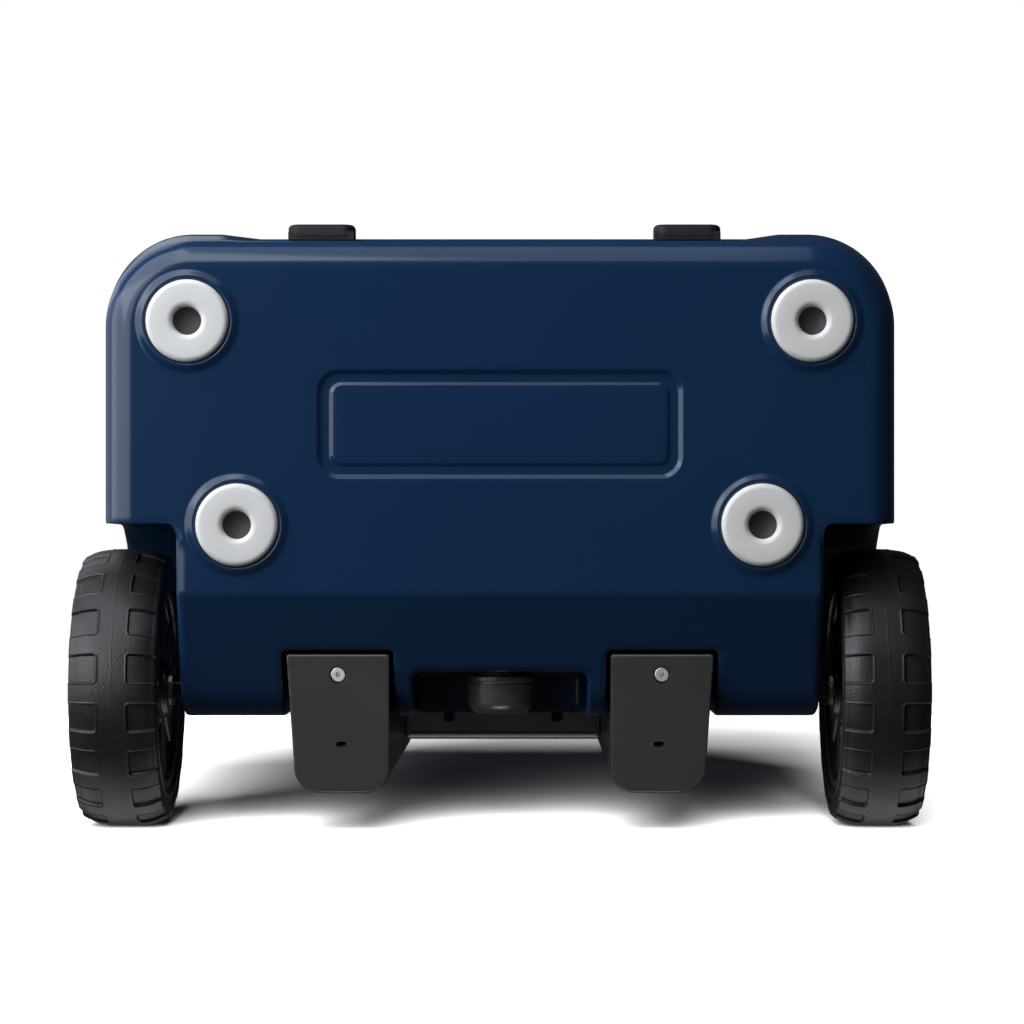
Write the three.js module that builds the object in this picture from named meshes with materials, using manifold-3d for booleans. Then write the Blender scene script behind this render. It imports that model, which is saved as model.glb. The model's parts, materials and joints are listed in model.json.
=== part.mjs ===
// Wheeled hard cooler with a hinged lid, rubber latches and a two-stage telescoping handle.
// Millimetres, +Z up. Depths are written from the front edge of the base (0) towards the back;
// the outer group then moves the origin to the middle of the footprint, on the ground.
import * as THREE from 'three';
import { mergeVertices } from 'three/addons/utils/BufferGeometryUtils.js';
import Module from 'manifold-3d';

const wasm = await Module();
wasm.setup();

// ---- driving dimensions -------------------------------------------------------------------
const GAP = 0.3; // clearance between pieces that touch
const FAR = 500; // reach of a cutter that runs past the piece
const ROUND = 20; // sides of a small turned piece
const WHEEL_ROUND = 40; // sides of the tyre and the rim
const SCREW_ROUND = 12; // sides of a screw

// cooler body
const BASE_HALF_WIDTH = 237.8;
const BACK_DEPTH = 288;
const BASE_HEIGHT = 6;
const RIM_HEIGHT = 425;
const SIDE_DRAFT = THREE.MathUtils.degToRad( 2.6 );
const FRONT_DRAFT = THREE.MathUtils.degToRad( 5.2 );
const FRONT_CORNER = 48;
const REAR_CORNER = 22;
const BASE_FILLET = 16;
const SKIN = 4; // moulded wall
const AXLE_BOSS_RADIUS = 16; // solid plastic left round each stub axle
const DRAIN_BOSS_RADIUS = 14; // and round the drain
const FLOOR_SKIN = 11; // moulded wall under the foot screws
const WELL_FRONT = 170;
const WELL_HALF_WIDTH = 194.5;
const WELL_TOP = 205;
const WELL_ARCH = 90;
const CREASE_DEPTH = 213;
const REAR_SLOPE = THREE.MathUtils.degToRad( 22 );

// storage cavity
const CAVITY_FLOOR = 50;
const CAVITY_BOTTOM = { halfWidth: 164, front: 36, back: 232, corner: 30 };
const CAVITY_TOP = { halfWidth: 212, front: - 4, back: 238, corner: 34 };

// lid
const LID_BOTTOM = RIM_HEIGHT + 2;
const LID_TOP = 480;
const LID_OVERHANG = 3.2;
const LID_FILLET = 16;
const LID_SKIN = 4.5;
const LINER_THICKNESS = 3;
const PLUG_DEPTH = 14; // how far the liner reaches into the cavity
const PLUG_CLEARANCE = 5;
const GASKET_WIDTH = 8;
const GASKET_THICKNESS = 4;
const HINGE_DEPTH = 276;
const HINGE_HEIGHT = 450;
const EAR_X = 150;
const EAR_WIDTH = 40;
const EAR_RADIUS = 12;
const HINGE_PIN_RADIUS = 4;
const HINGE_PIN_LENGTH = 84;

// latches
const LATCH_X = 133.5;
const LATCH_WIDTH = 49;
const LATCH_OUTER = - 51;
const LATCH_INNER = - 41.8;
const LATCH_BOTTOM = 392;
const LATCH_TOP = 468;
const LATCH_PIN_DEPTH = - 37.5;
const LATCH_PIN_HEIGHT = 462;
const LATCH_PIN_RADIUS = 2.5;
const LATCH_KNUCKLE = 6;
const LATCH_NOTCH_BACK = - 29;
const LATCH_NOTCH_BOTTOM = 446;
const KEEPER_BACK = - 30;
const TONGUE_BACK = - 32;
const KEEPER_MARGIN = 6; // how much narrower the keeper groove is than the latch, on each side

// feet: half spacing across and depth of the front and rear pairs
const FOOT_PAIRS = { front: [ 187.5, 48.6 ], rear: [ 157.7, 171 ] };
const FOOT_RADIUS = 25;
const FOOT_HOLE = 9.5;
const FOOT_SEAT_RADIUS = 25.4;
const FOOT_SEAT_DEPTH = 3;
const FOOT_COLLAR = { radius: 28.4, height: 1.6 }; // raised round each seat
const FOOT_SCREW_HEAD = 9.1;

// wheels
const WHEEL_RADIUS = 86.5;
const AXLE_DEPTH = 272;
const AXLE_HEIGHT = 88.5;
const TYRE_INNER_X = 207;
const TYRE_OUTER_X = 260;
const RIM_RADIUS = 64;
const AXLE_RADIUS = 5;
const AXLE_INNER_X = 148;
const SPACER_RADIUS = 7.2;
const BUSHING_RADIUS = 8.2;
const HUB_BOSS_RADIUS = 17;
const SPOKES = 6;

// handle rails
const RAIL_X = 98;
const RAIL_INNER_X = 67;
const RAIL_OUTER_X = 129.5;
const RAIL_OUTER_REAR_X = 123.5;
const RAIL_FRONT = 249;
const RAIL_REAR = 333;
const RAIL_TOP = 390;
const PLATE_BOTTOM = 20;
const PLATE_TOP = 24;
const CHANNEL_CLEARANCE = 2.4;
const TUBE_DEPTH = 316;
const OUTER_TUBE = { width: 26, depth: 14, wall: 1.5 };
const TUBE_FIT = 0.35;
const TUBE_BOTTOM = 30;
const GRIP_BOTTOM = 397;
const GRIP_TOP = 421;
const GRIP_HALF_LENGTH = 116;
const GRIP_HALF_DEPTH = 9.5;
const BRIDGE_BOTTOM = 268;
const BRIDGE_TOP = 356;
const BRIDGE_REAR = 316.5;
const BUTTON_HALF_LENGTH = 22;
const BUTTON_TRAVEL = 4;

// drain
const DRAIN_HEIGHT = 56;
const DRAIN_RECESS = { halfWidth: 53, front: 260, top: 86 };
const DRAIN_PLUG_RADIUS = 20.5;
const DRAIN_BORE_RADIUS = 8;

// hand grips moulded in the two ends of the body
const SIDE_GRIP = { front: 58, back: 182, bottom: 366, top: 404, depth: 24 };

const FRONT_LIMIT = LATCH_OUTER;
const REAR_LIMIT = AXLE_DEPTH + WHEEL_RADIUS;
const ORIGIN_DEPTH = ( FRONT_LIMIT + REAR_LIMIT ) / 2;

// ---- materials ----------------------------------------------------------------------------
function finish( color, roughness, metalness = 0 ) {

	return new THREE.MeshStandardMaterial( { color, roughness, metalness } );

}

const navyPlastic = finish( 0x16294a, 0.42 );
const blackPlastic = finish( 0x1d1e20, 0.55 );
const blackRubber = finish( 0x18191a, 0.7 );
const tyreRubber = finish( 0x1b1b1c, 0.75 );
const paleRubber = finish( 0xcfcfcd, 0.6 );
const gasketRubber = finish( 0x3a3c3f, 0.65 );
const foamFill = finish( 0xe3d9b4, 0.9 );
const linerPlastic = finish( 0xe8e9e6, 0.45 );
const steel = finish( 0xb9bcc0, 0.3, 1 );
const blackSteel = finish( 0x1c1d1f, 0.4, 0.8 );
const aluminium = finish( 0x2a2c2f, 0.35, 0.7 );

// ---- solids -------------------------------------------------------------------------------
function solid( geometry ) {

	const bare = geometry.clone();
	bare.deleteAttribute( 'normal' );
	bare.deleteAttribute( 'uv' );
	const merged = mergeVertices( bare, 1e-4 );
	const vertProperties = new Float32Array( merged.attributes.position.array );
	const triVerts = new Uint32Array( merged.index.array );
	return new wasm.Manifold( new wasm.Mesh( { numProp: 3, vertProperties, triVerts } ) );

}

function geometryOf( body ) {

	const mesh = body.getMesh();
	const geometry = new THREE.BufferGeometry();
	geometry.setAttribute( 'position', new THREE.BufferAttribute( new Float32Array( mesh.vertProperties ), 3 ) );
	geometry.setIndex( new THREE.BufferAttribute( new Uint32Array( mesh.triVerts ), 1 ) );
	geometry.computeVertexNormals();
	return geometry;

}

// Outline with rounded corners, from [ x, y, radius ] corners in counter-clockwise order.
function rounded( corners, steps = 5 ) {

	const points = [];
	corners.forEach( ( [ x, y, radius ], index ) => {

		const corner = new THREE.Vector2( x, y );
		if ( radius === 0 ) {

			points.push( corner );
			return;

		}

		const previous = corners[ ( index + corners.length - 1 ) % corners.length ];
		const next = corners[ ( index + 1 ) % corners.length ];
		const back = new THREE.Vector2( previous[ 0 ], previous[ 1 ] ).sub( corner ).normalize();
		const ahead = new THREE.Vector2( next[ 0 ], next[ 1 ] ).sub( corner ).normalize();
		const half = Math.acos( back.dot( ahead ) ) / 2;
		const centre = back.clone().add( ahead ).setLength( radius / Math.sin( half ) ).add( corner );
		const first = back.multiplyScalar( radius / Math.tan( half ) ).add( corner ).sub( centre );
		const last = ahead.multiplyScalar( radius / Math.tan( half ) ).add( corner ).sub( centre );
		const sweep = Math.atan2( first.cross( last ), first.dot( last ) );
		for ( let step = 0; step <= steps; step ++ ) {

			points.push( first.clone().rotateAround( new THREE.Vector2(), sweep * step / steps ).add( centre ) );

		}

	} );
	return points;

}

function rectangle( x0, y0, x1, y1, radius = 0, steps = 4 ) {

	return rounded( [ [ x0, y0, radius ], [ x1, y0, radius ], [ x1, y1, radius ], [ x0, y1, radius ] ], steps );

}

// Solid through a stack of outlines that all have the same number of points, lowest first.
function loft( sections ) {

	const count = sections[ 0 ].outline.length;
	const positions = [];
	for ( const { outline, z } of sections ) {

		for ( const point of outline ) positions.push( point.x, point.y, z );

	}

	const index = [];
	for ( let level = 0; level < sections.length - 1; level ++ ) {

		for ( let side = 0; side < count; side ++ ) {

			const low = level * count + side;
			const lowNext = level * count + ( side + 1 ) % count;
			index.push( low, lowNext, lowNext + count, low, lowNext + count, low + count );

		}

	}

	const top = ( sections.length - 1 ) * count;
	for ( const [ a, b, c ] of THREE.ShapeUtils.triangulateShape( sections[ 0 ].outline, [] ) ) index.push( a, c, b );
	for ( const [ a, b, c ] of THREE.ShapeUtils.triangulateShape( sections.at( - 1 ).outline, [] ) ) {

		index.push( top + a, top + b, top + c );

	}

	const geometry = new THREE.BufferGeometry();
	geometry.setAttribute( 'position', new THREE.Float32BufferAttribute( positions, 3 ) );
	geometry.setIndex( index );
	return solid( geometry );

}

function prism( outline, low, high ) {

	return loft( [ { outline, z: low }, { outline, z: high } ] );

}

// The same prism lying along X or Y: the outline is then ( depth, height ) or ( height, x ).
const ALONG_X = new THREE.Matrix4().makeBasis(
	new THREE.Vector3( 0, 1, 0 ), new THREE.Vector3( 0, 0, 1 ), new THREE.Vector3( 1, 0, 0 ) );
const ALONG_Y = new THREE.Matrix4().makeBasis(
	new THREE.Vector3( 0, 0, 1 ), new THREE.Vector3( 1, 0, 0 ), new THREE.Vector3( 0, 1, 0 ) );

function prismAlongX( outline, low, high ) {

	return prism( outline, low, high ).transform( ALONG_X.elements );

}

function box( x0, y0, z0, x1, y1, z1, radius = 0 ) {

	return prism( rectangle( x0, y0, x1, y1, radius ), z0, z1 );

}

// Turned solid about Z, from [ radius, height ] points; closed on itself or on the axis.
function turned( profile, segments = ROUND ) {

	const points = profile.map( ( [ radius, height ] ) => new THREE.Vector2( radius, height ) );
	const geometry = new THREE.LatheGeometry( points, segments ).rotateX( Math.PI / 2 );
	const body = solid( geometry );
	return body.volume() > 0 ? body : solid( flipped( geometry ) );

}

function flipped( geometry ) {

	const copy = geometry.clone();
	const order = Array.from( copy.index.array );
	for ( let corner = 0; corner < order.length; corner += 3 ) {

		[ order[ corner + 1 ], order[ corner + 2 ] ] = [ order[ corner + 2 ], order[ corner + 1 ] ];

	}

	copy.setIndex( order );
	return copy;

}

function ring( inner, outer, low, high, segments = ROUND ) {

	const profile = [ [ inner, low ], [ outer, low ], [ outer, high ], [ inner, high ], [ inner, low ] ];
	return turned( profile, segments );

}

function disc( radius, low, high, segments = ROUND ) {

	return turned( [ [ 0, low ], [ radius, low ], [ radius, high ], [ 0, high ] ], segments );

}

function mirrored( body, side ) {

	return side > 0 ? body : body.mirror( [ 1, 0, 0 ] );

}

function joined( ...bodies ) {

	return bodies.reduce( ( sum, body ) => sum.add( body ) );

}

// ---- scene graph --------------------------------------------------------------------------
const part = new THREE.Group();
const cooler = new THREE.Group();
cooler.position.y = - ORIGIN_DEPTH;
part.add( cooler );

const SIDES = [ [ 'left', - 1 ], [ 'right', 1 ] ];

function addPiece( name, body, material, parent = cooler ) {

	const mesh = new THREE.Mesh( geometryOf( body ), material );
	mesh.name = name;
	parent.add( mesh );
	return mesh;

}

// ---- cooler body --------------------------------------------------------------------------
function bodySection( z, inset, edgeInset ) {

	const rise = z - BASE_HEIGHT;
	const halfWidth = BASE_HALF_WIDTH + rise * Math.tan( SIDE_DRAFT ) - inset - edgeInset;
	const front = - rise * Math.tan( FRONT_DRAFT ) + inset + edgeInset;
	const back = BACK_DEPTH - inset - edgeInset;
	const frontCorner = Math.max( FRONT_CORNER - inset - edgeInset, 4 );
	const rearCorner = Math.max( REAR_CORNER - inset - edgeInset, 4 );
	return {
		z,
		outline: rounded( [
			[ - halfWidth, front, frontCorner ],
			[ halfWidth, front, frontCorner ],
			[ halfWidth, back, rearCorner ],
			[ - halfWidth, back, rearCorner ],
		] ),
	};

}

// Outside of the body moved inwards by inset, with everything that is let into it from outside.
function bodyOutside( inset, floorInset, top ) {

	const sections = [];
	const fillet = Math.max( BASE_FILLET - inset, 4 );
	const floor = BASE_HEIGHT + floorInset;
	const steps = 4;
	for ( let step = 0; step <= steps; step ++ ) {

		const angle = Math.PI / 2 * step / steps;
		const edgeInset = fillet * ( 1 - Math.sin( angle ) );
		sections.push( bodySection( floor + fillet * ( 1 - Math.cos( angle ) ), inset, edgeInset ) );

	}

	sections.push( bodySection( top, inset, 0 ) );
	let body = loft( sections );

	const slopeRise = FAR * Math.tan( REAR_SLOPE );
	const slope = prismAlongX( [
		new THREE.Vector2( CREASE_DEPTH, BASE_HEIGHT + floorInset ),
		new THREE.Vector2( CREASE_DEPTH, - FAR ),
		new THREE.Vector2( CREASE_DEPTH + FAR, - FAR ),
		new THREE.Vector2( CREASE_DEPTH + FAR, BASE_HEIGHT + floorInset + slopeRise ),
	], - FAR, FAR );
	body = body.subtract( slope );

	const well = prismAlongX( rounded( [
		[ WELL_FRONT - inset, - FAR, 0 ],
		[ FAR, - FAR, 0 ],
		[ FAR, WELL_TOP + inset, 0 ],
		[ WELL_FRONT - inset, WELL_TOP + inset, WELL_ARCH + inset ],
	], 10 ), WELL_HALF_WIDTH - inset, FAR );
	const channel = box(
		RAIL_INNER_X - CHANNEL_CLEARANCE - inset, RAIL_FRONT - CHANNEL_CLEARANCE - inset, - FAR,
		RAIL_OUTER_X + CHANNEL_CLEARANCE + inset, FAR, RAIL_TOP + CHANNEL_CLEARANCE + inset );
	const grip = box(
		BASE_HALF_WIDTH + ( SIDE_GRIP.top - BASE_HEIGHT ) * Math.tan( SIDE_DRAFT ) - SIDE_GRIP.depth - inset,
		SIDE_GRIP.front - inset, SIDE_GRIP.bottom - inset,
		FAR, SIDE_GRIP.back + inset, SIDE_GRIP.top + inset );
	const keeperHalf = LATCH_WIDTH / 2 - KEEPER_MARGIN + inset;
	const keeper = box( LATCH_X - keeperHalf, - FAR, LATCH_BOTTOM - 1 - inset,
		LATCH_X + keeperHalf, KEEPER_BACK + inset, FAR );
	for ( const [ , side ] of SIDES ) {

		body = body.subtract( mirrored( joined( well, channel, grip, keeper ), side ) );

	}

	const drainRecess = box(
		- DRAIN_RECESS.halfWidth - inset, DRAIN_RECESS.front - inset, - FAR,
		DRAIN_RECESS.halfWidth + inset, FAR, DRAIN_RECESS.top + inset );
	return body.subtract( drainRecess );

}

function cavity( outset ) {

	const section = ( { halfWidth, front, back, corner }, z ) => ( {
		z,
		outline: rectangle( - halfWidth - outset, front - outset, halfWidth + outset, back + outset, corner + outset ),
	} );
	const openTop = section( CAVITY_TOP, RIM_HEIGHT + FAR );
	return loft( [ section( CAVITY_BOTTOM, CAVITY_FLOOR - outset ), section( CAVITY_TOP, RIM_HEIGHT ), openTop ] );

}

function atFoot( body, pair, side ) {

	const [ x, depth ] = FOOT_PAIRS[ pair ];
	return body.translate( [ side * x, depth, 0 ] );

}

// Turned shapes of the wheels, with Z along the axle and 0 at the middle of the cooler.
function onAxle( body, side ) {

	const lying = body.rotate( [ 0, 90, 0 ] ).translate( [ 0, AXLE_DEPTH, AXLE_HEIGHT ] );
	return mirrored( lying, side );

}

function onDrain( body ) {

	return body.rotate( [ - 90, 0, 0 ] ).translate( [ 0, 0, DRAIN_HEIGHT ] );

}

const FOAM_PORT = { radius: 11, height: 160 };
const foamTop = RIM_HEIGHT - SKIN;

function foamSpace( extra ) {

	let space = bodyOutside( SKIN + extra, FLOOR_SKIN + extra, foamTop - extra );
	space = space.subtract( cavity( SKIN + extra ) );
	for ( const [ , side ] of SIDES ) space = space.subtract( onAxle( disc( AXLE_BOSS_RADIUS + extra, 100, 230 ), side ) );
	space = space.subtract( onDrain( disc( DRAIN_BOSS_RADIUS + extra, 200, 300 ) ) );
	return space;

}

function largest( body ) {

	const bodies = body.decompose();
	bodies.sort( ( a, b ) => b.volume() - a.volume() );
	return bodies[ 0 ];

}

function coolerBody() {

	let body = bodyOutside( 0, 0, RIM_HEIGHT );
	for ( const [ , side ] of SIDES ) body = body.add( hingeEar( side ) );
	body = body.subtract( cavity( 0 ) );
	body = body.subtract( largest( foamSpace( 0 ) ) );
	const port = disc( FOAM_PORT.radius, 270, 300 ).rotate( [ - 90, 0, 0 ] ).translate( [ 0, 0, FOAM_PORT.height ] );
	body = body.subtract( port );
	body = body.subtract( onDrain( disc( DRAIN_BORE_RADIUS, 220, 300 ) ) );
	for ( const [ , side ] of SIDES ) {

		body = body.subtract( onAxle( disc( AXLE_RADIUS + GAP, AXLE_INNER_X - GAP, 230 ), side ) );
		body = body.subtract( hingeBore( side, GAP ) );
		for ( const pair of Object.keys( FOOT_PAIRS ) ) {

			const collar = disc( FOOT_COLLAR.radius, BASE_HEIGHT - FOOT_COLLAR.height, BASE_HEIGHT + 1 );
			body = body.add( atFoot( collar, pair, side ) );
			const seat = disc( FOOT_SEAT_RADIUS, - 10, BASE_HEIGHT + FOOT_SEAT_DEPTH );
			const pilot = disc( 2.6, 0, 14 );
			body = body.subtract( atFoot( joined( seat, pilot ), pair, side ) );

		}

	}

	return body;

}

function hingeEar( side ) {

	const outline = rounded( [
		[ HINGE_DEPTH - EAR_RADIUS, RIM_HEIGHT - 20, 0 ],
		[ HINGE_DEPTH + EAR_RADIUS, RIM_HEIGHT - 20, 0 ],
		[ HINGE_DEPTH + EAR_RADIUS, HINGE_HEIGHT + EAR_RADIUS, EAR_RADIUS - 0.1 ],
		[ HINGE_DEPTH - EAR_RADIUS, HINGE_HEIGHT + EAR_RADIUS, EAR_RADIUS - 0.1 ],
	], 8 );
	return mirrored( prismAlongX( outline, EAR_X - EAR_WIDTH / 2, EAR_X + EAR_WIDTH / 2 ), side );

}

function hingeBore( side, clearance ) {

	const half = HINGE_PIN_LENGTH / 2 + clearance;
	const rod = disc( HINGE_PIN_RADIUS + clearance, EAR_X - half, EAR_X + half, 24 );
	return mirrored( rod.rotate( [ 0, 90, 0 ] ).translate( [ 0, HINGE_DEPTH, HINGE_HEIGHT ] ), side );

}

addPiece( 'cooler_body', coolerBody(), navyPlastic );
addPiece( 'body_foam', largest( foamSpace( GAP ) ), foamFill );
const foamPlug = disc( FOAM_PORT.radius - GAP, BACK_DEPTH - 3.5, BACK_DEPTH - 0.2 );
addPiece( 'foam_port_plug', foamPlug.rotate( [ - 90, 0, 0 ] ).translate( [ 0, 0, FOAM_PORT.height ] ), navyPlastic );

// ---- lid ----------------------------------------------------------------------------------
const LID_HALF_WIDTH = BASE_HALF_WIDTH + ( RIM_HEIGHT - BASE_HEIGHT ) * Math.tan( SIDE_DRAFT ) + LID_OVERHANG;
const LID_FRONT = - ( RIM_HEIGHT - BASE_HEIGHT ) * Math.tan( FRONT_DRAFT ) - LID_OVERHANG;

function lidSection( z, inset ) {

	const halfWidth = LID_HALF_WIDTH - inset;
	const frontCorner = FRONT_CORNER + LID_OVERHANG - inset;
	const rearCorner = REAR_CORNER + LID_OVERHANG - Math.min( inset, REAR_CORNER );
	return {
		z,
		outline: rounded( [
			[ - halfWidth, LID_FRONT + inset, frontCorner ],
			[ halfWidth, LID_FRONT + inset, frontCorner ],
			[ halfWidth, BACK_DEPTH - inset, rearCorner ],
			[ - halfWidth, BACK_DEPTH - inset, rearCorner ],
		] ),
	};

}

function lidOutside() {

	const sections = [ lidSection( LID_BOTTOM, 5 ), lidSection( LID_BOTTOM + 5, 0 ) ];
	const steps = 4;
	for ( let step = 0; step <= steps; step ++ ) {

		const angle = Math.PI / 2 * step / steps;
		const height = LID_TOP - LID_FILLET * ( 1 - Math.sin( angle ) );
		sections.push( lidSection( height, LID_FILLET * ( 1 - Math.cos( angle ) ) ) );

	}

	return loft( sections );

}

const lidPocket = {
	halfWidth: CAVITY_TOP.halfWidth + 16,
	front: CAVITY_TOP.front - 14,
	back: CAVITY_TOP.back + 2,
	corner: 30,
};

function lidPocketSolid( inset, low, high ) {

	const { halfWidth, front, back, corner } = lidPocket;
	return prism( rectangle( - halfWidth + inset, front + inset, halfWidth - inset, back - inset, corner - inset ),
		low, high );

}

function lidShell() {

	let body = lidOutside().subtract( lidPocketSolid( 0, LID_BOTTOM - 10, LID_TOP - LID_SKIN ) );
	for ( const [ , side ] of SIDES ) {

		const notchHalf = EAR_WIDTH / 2 + 1;
		const notch = box( EAR_X - notchHalf, HINGE_DEPTH - EAR_RADIUS - 3, - FAR,
			EAR_X + notchHalf, FAR, HINGE_HEIGHT + EAR_RADIUS + 2 );
		const latchHalf = LATCH_WIDTH / 2 + 1.5;
		const latchNotch = box( LATCH_X - latchHalf, - FAR, LATCH_NOTCH_BOTTOM,
			LATCH_X + latchHalf, LATCH_NOTCH_BACK, FAR );
		body = body.subtract( mirrored( joined( notch, latchNotch ), side ) );
		body = body.subtract( hingeBore( side, GAP ) );
		body = body.subtract( latchPin( side, GAP ) );

	}

	return body;

}

function lidLiner() {

	const pan = lidPocketSolid( GAP, LID_BOTTOM, LID_BOTTOM + LINER_THICKNESS );
	const { halfWidth, front, back, corner } = CAVITY_TOP;
	const c = PLUG_CLEARANCE;
	const outline = rectangle( - halfWidth + c, front + c, halfWidth - c, back - c, corner - c );
	const w = c + LINER_THICKNESS;
	const hollow = rectangle( - halfWidth + w, front + w, halfWidth - w, back - w, corner - w );
	const plug = prism( outline, RIM_HEIGHT - PLUG_DEPTH, LID_BOTTOM + 1 );
	const inside = prism( hollow, RIM_HEIGHT - PLUG_DEPTH + LINER_THICKNESS, LID_BOTTOM + 20 );
	return pan.add( plug ).subtract( inside ).subtract( gasketRing( GAP, LID_BOTTOM - 1 + GAP ) );

}

function lidFoam() {

	const upper = lidPocketSolid( GAP, LID_BOTTOM + LINER_THICKNESS + GAP, LID_TOP - LID_SKIN - GAP );
	const { halfWidth, front, back, corner } = CAVITY_TOP;
	const w = PLUG_CLEARANCE + LINER_THICKNESS + GAP;
	const hollow = rectangle( - halfWidth + w, front + w, halfWidth - w, back - w, corner - w );
	const lower = prism( hollow, RIM_HEIGHT - PLUG_DEPTH + LINER_THICKNESS + GAP, LID_BOTTOM + 20 );
	return upper.add( lower );

}

function gasketRing( clearance, top ) {

	const { halfWidth, front, back, corner } = CAVITY_TOP;
	const near = 3 - clearance;
	const far = 3 + GASKET_WIDTH + clearance;
	const low = RIM_HEIGHT + GAP - clearance;
	const outline = ( grow ) => rectangle(
		- halfWidth - grow, front - grow, halfWidth + grow, back + grow * 0.4, corner + grow * 0.4 );
	return prism( outline( far ), low, top ).subtract( prism( outline( near ), low - 1, top + 1 ) );

}

addPiece( 'lid_shell', lidShell(), navyPlastic );
addPiece( 'lid_liner', lidLiner(), linerPlastic );
addPiece( 'lid_foam', lidFoam(), foamFill );
addPiece( 'lid_gasket', gasketRing( 0, LID_BOTTOM - GAP ), gasketRubber );
for ( const [ name, side ] of SIDES ) addPiece( `hinge_pin_${ name }`, hingeBore( side, 0 ), steel );

// ---- latches ------------------------------------------------------------------------------
function latchPin( side, clearance ) {

	const half = LATCH_WIDTH / 2 + 6 + clearance;
	const rod = disc( LATCH_PIN_RADIUS + clearance, LATCH_X - half, LATCH_X + half, 20 );
	return mirrored( rod.rotate( [ 0, 90, 0 ] ).translate( [ 0, LATCH_PIN_DEPTH, LATCH_PIN_HEIGHT ] ), side );

}

function latch( side ) {

	const half = LATCH_WIDTH / 2;
	const strap = prismAlongX( rounded( [
		[ LATCH_OUTER, LATCH_BOTTOM, 3 ],
		[ LATCH_INNER, LATCH_BOTTOM, 2 ],
		[ LATCH_INNER, LATCH_TOP, 2 ],
		[ LATCH_OUTER, LATCH_TOP, 3 ],
	], 3 ), - half, half );
	const corners = rectangle( - half, LATCH_BOTTOM, half, LATCH_TOP, 9 );
	const face = corners.map( ( point ) => new THREE.Vector2( point.y, point.x ) ).reverse();
	const faceCut = prism( face, LATCH_OUTER - 1, LATCH_PIN_DEPTH + 20 ).transform( ALONG_Y.elements );
	const knuckle = disc( LATCH_KNUCKLE, - half, half, 24 ).rotate( [ 0, 90, 0 ] )
		.translate( [ 0, LATCH_PIN_DEPTH, LATCH_PIN_HEIGHT ] );
	const neck = box( - half, LATCH_INNER - 1, LATCH_PIN_HEIGHT - 5, half, LATCH_PIN_DEPTH, LATCH_PIN_HEIGHT + 5 );
	const catchHalf = half - 8;
	const tongue = box( - catchHalf, LATCH_INNER - 1, LATCH_BOTTOM + 4, catchHalf, TONGUE_BACK, LATCH_BOTTOM + 20 );
	const body = joined( strap.intersect( faceCut ), knuckle, neck, tongue ).translate( [ LATCH_X, 0, 0 ] );
	return mirrored( body, side ).subtract( latchPin( side, GAP ) );

}

for ( const [ name, side ] of SIDES ) {

	addPiece( `latch_${ name }`, latch( side ), blackRubber );
	addPiece( `latch_pin_${ name }`, latchPin( side, 0 ), steel );

}

// ---- feet ---------------------------------------------------------------------------------
const FOOT_TOP = BASE_HEIGHT + FOOT_SEAT_DEPTH - GAP;
const footProfile = [
	[ 2.9, 5 ], [ FOOT_HOLE, 5 ], [ FOOT_HOLE, 1.5 ], [ FOOT_HOLE + 2, 0 ],
	[ FOOT_RADIUS - 3.5, 0 ], [ FOOT_RADIUS - 1, 1 ], [ FOOT_RADIUS, 3.5 ],
	[ FOOT_RADIUS, FOOT_TOP ], [ 2.9, FOOT_TOP ], [ 2.9, 5 ],
];
// Screw with a wide cupped head that lines the hole of the foot.
const footScrewProfile = [
	[ 0, 4 ], [ 4.5, 4 ], [ FOOT_SCREW_HEAD - 0.9, 1.8 ], [ FOOT_SCREW_HEAD, 2.2 ], [ FOOT_SCREW_HEAD, 4.7 ],
	[ 2.3, 4.7 ], [ 2.3, 13 ], [ 0, 13.5 ],
];
for ( const pair of Object.keys( FOOT_PAIRS ) ) {

	for ( const [ name, side ] of SIDES ) {

		addPiece( `foot_${ pair }_${ name }`, atFoot( turned( footProfile, 28 ), pair, side ), paleRubber );
		addPiece( `foot_screw_${ pair }_${ name }`, atFoot( turned( footScrewProfile, ROUND ), pair, side ), blackSteel );

	}

}

// ---- wheels -------------------------------------------------------------------------------
const WHEEL_MIDDLE = ( TYRE_INNER_X + TYRE_OUTER_X ) / 2;

function tyre() {

	const half = ( TYRE_OUTER_X - TYRE_INNER_X ) / 2;
	const steps = 6;
	const profile = [ [ RIM_RADIUS, WHEEL_MIDDLE - half ] ];
	profile.push( [ WHEEL_RADIUS - 14, WHEEL_MIDDLE - half ] );
	for ( let step = 0; step <= steps; step ++ ) {

		const across = - 1 + 2 * step / steps;
		const crown = WHEEL_RADIUS - 9 * Math.abs( across ) ** 3;
		profile.push( [ crown, WHEEL_MIDDLE + across * ( half - 2.5 ) ] );

	}

	profile.push( [ WHEEL_RADIUS - 14, WHEEL_MIDDLE + half ] );
	profile.push( [ RIM_RADIUS, WHEEL_MIDDLE + half ], [ RIM_RADIUS, WHEEL_MIDDLE - half ] );
	return turned( profile, WHEEL_ROUND );

}

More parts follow.
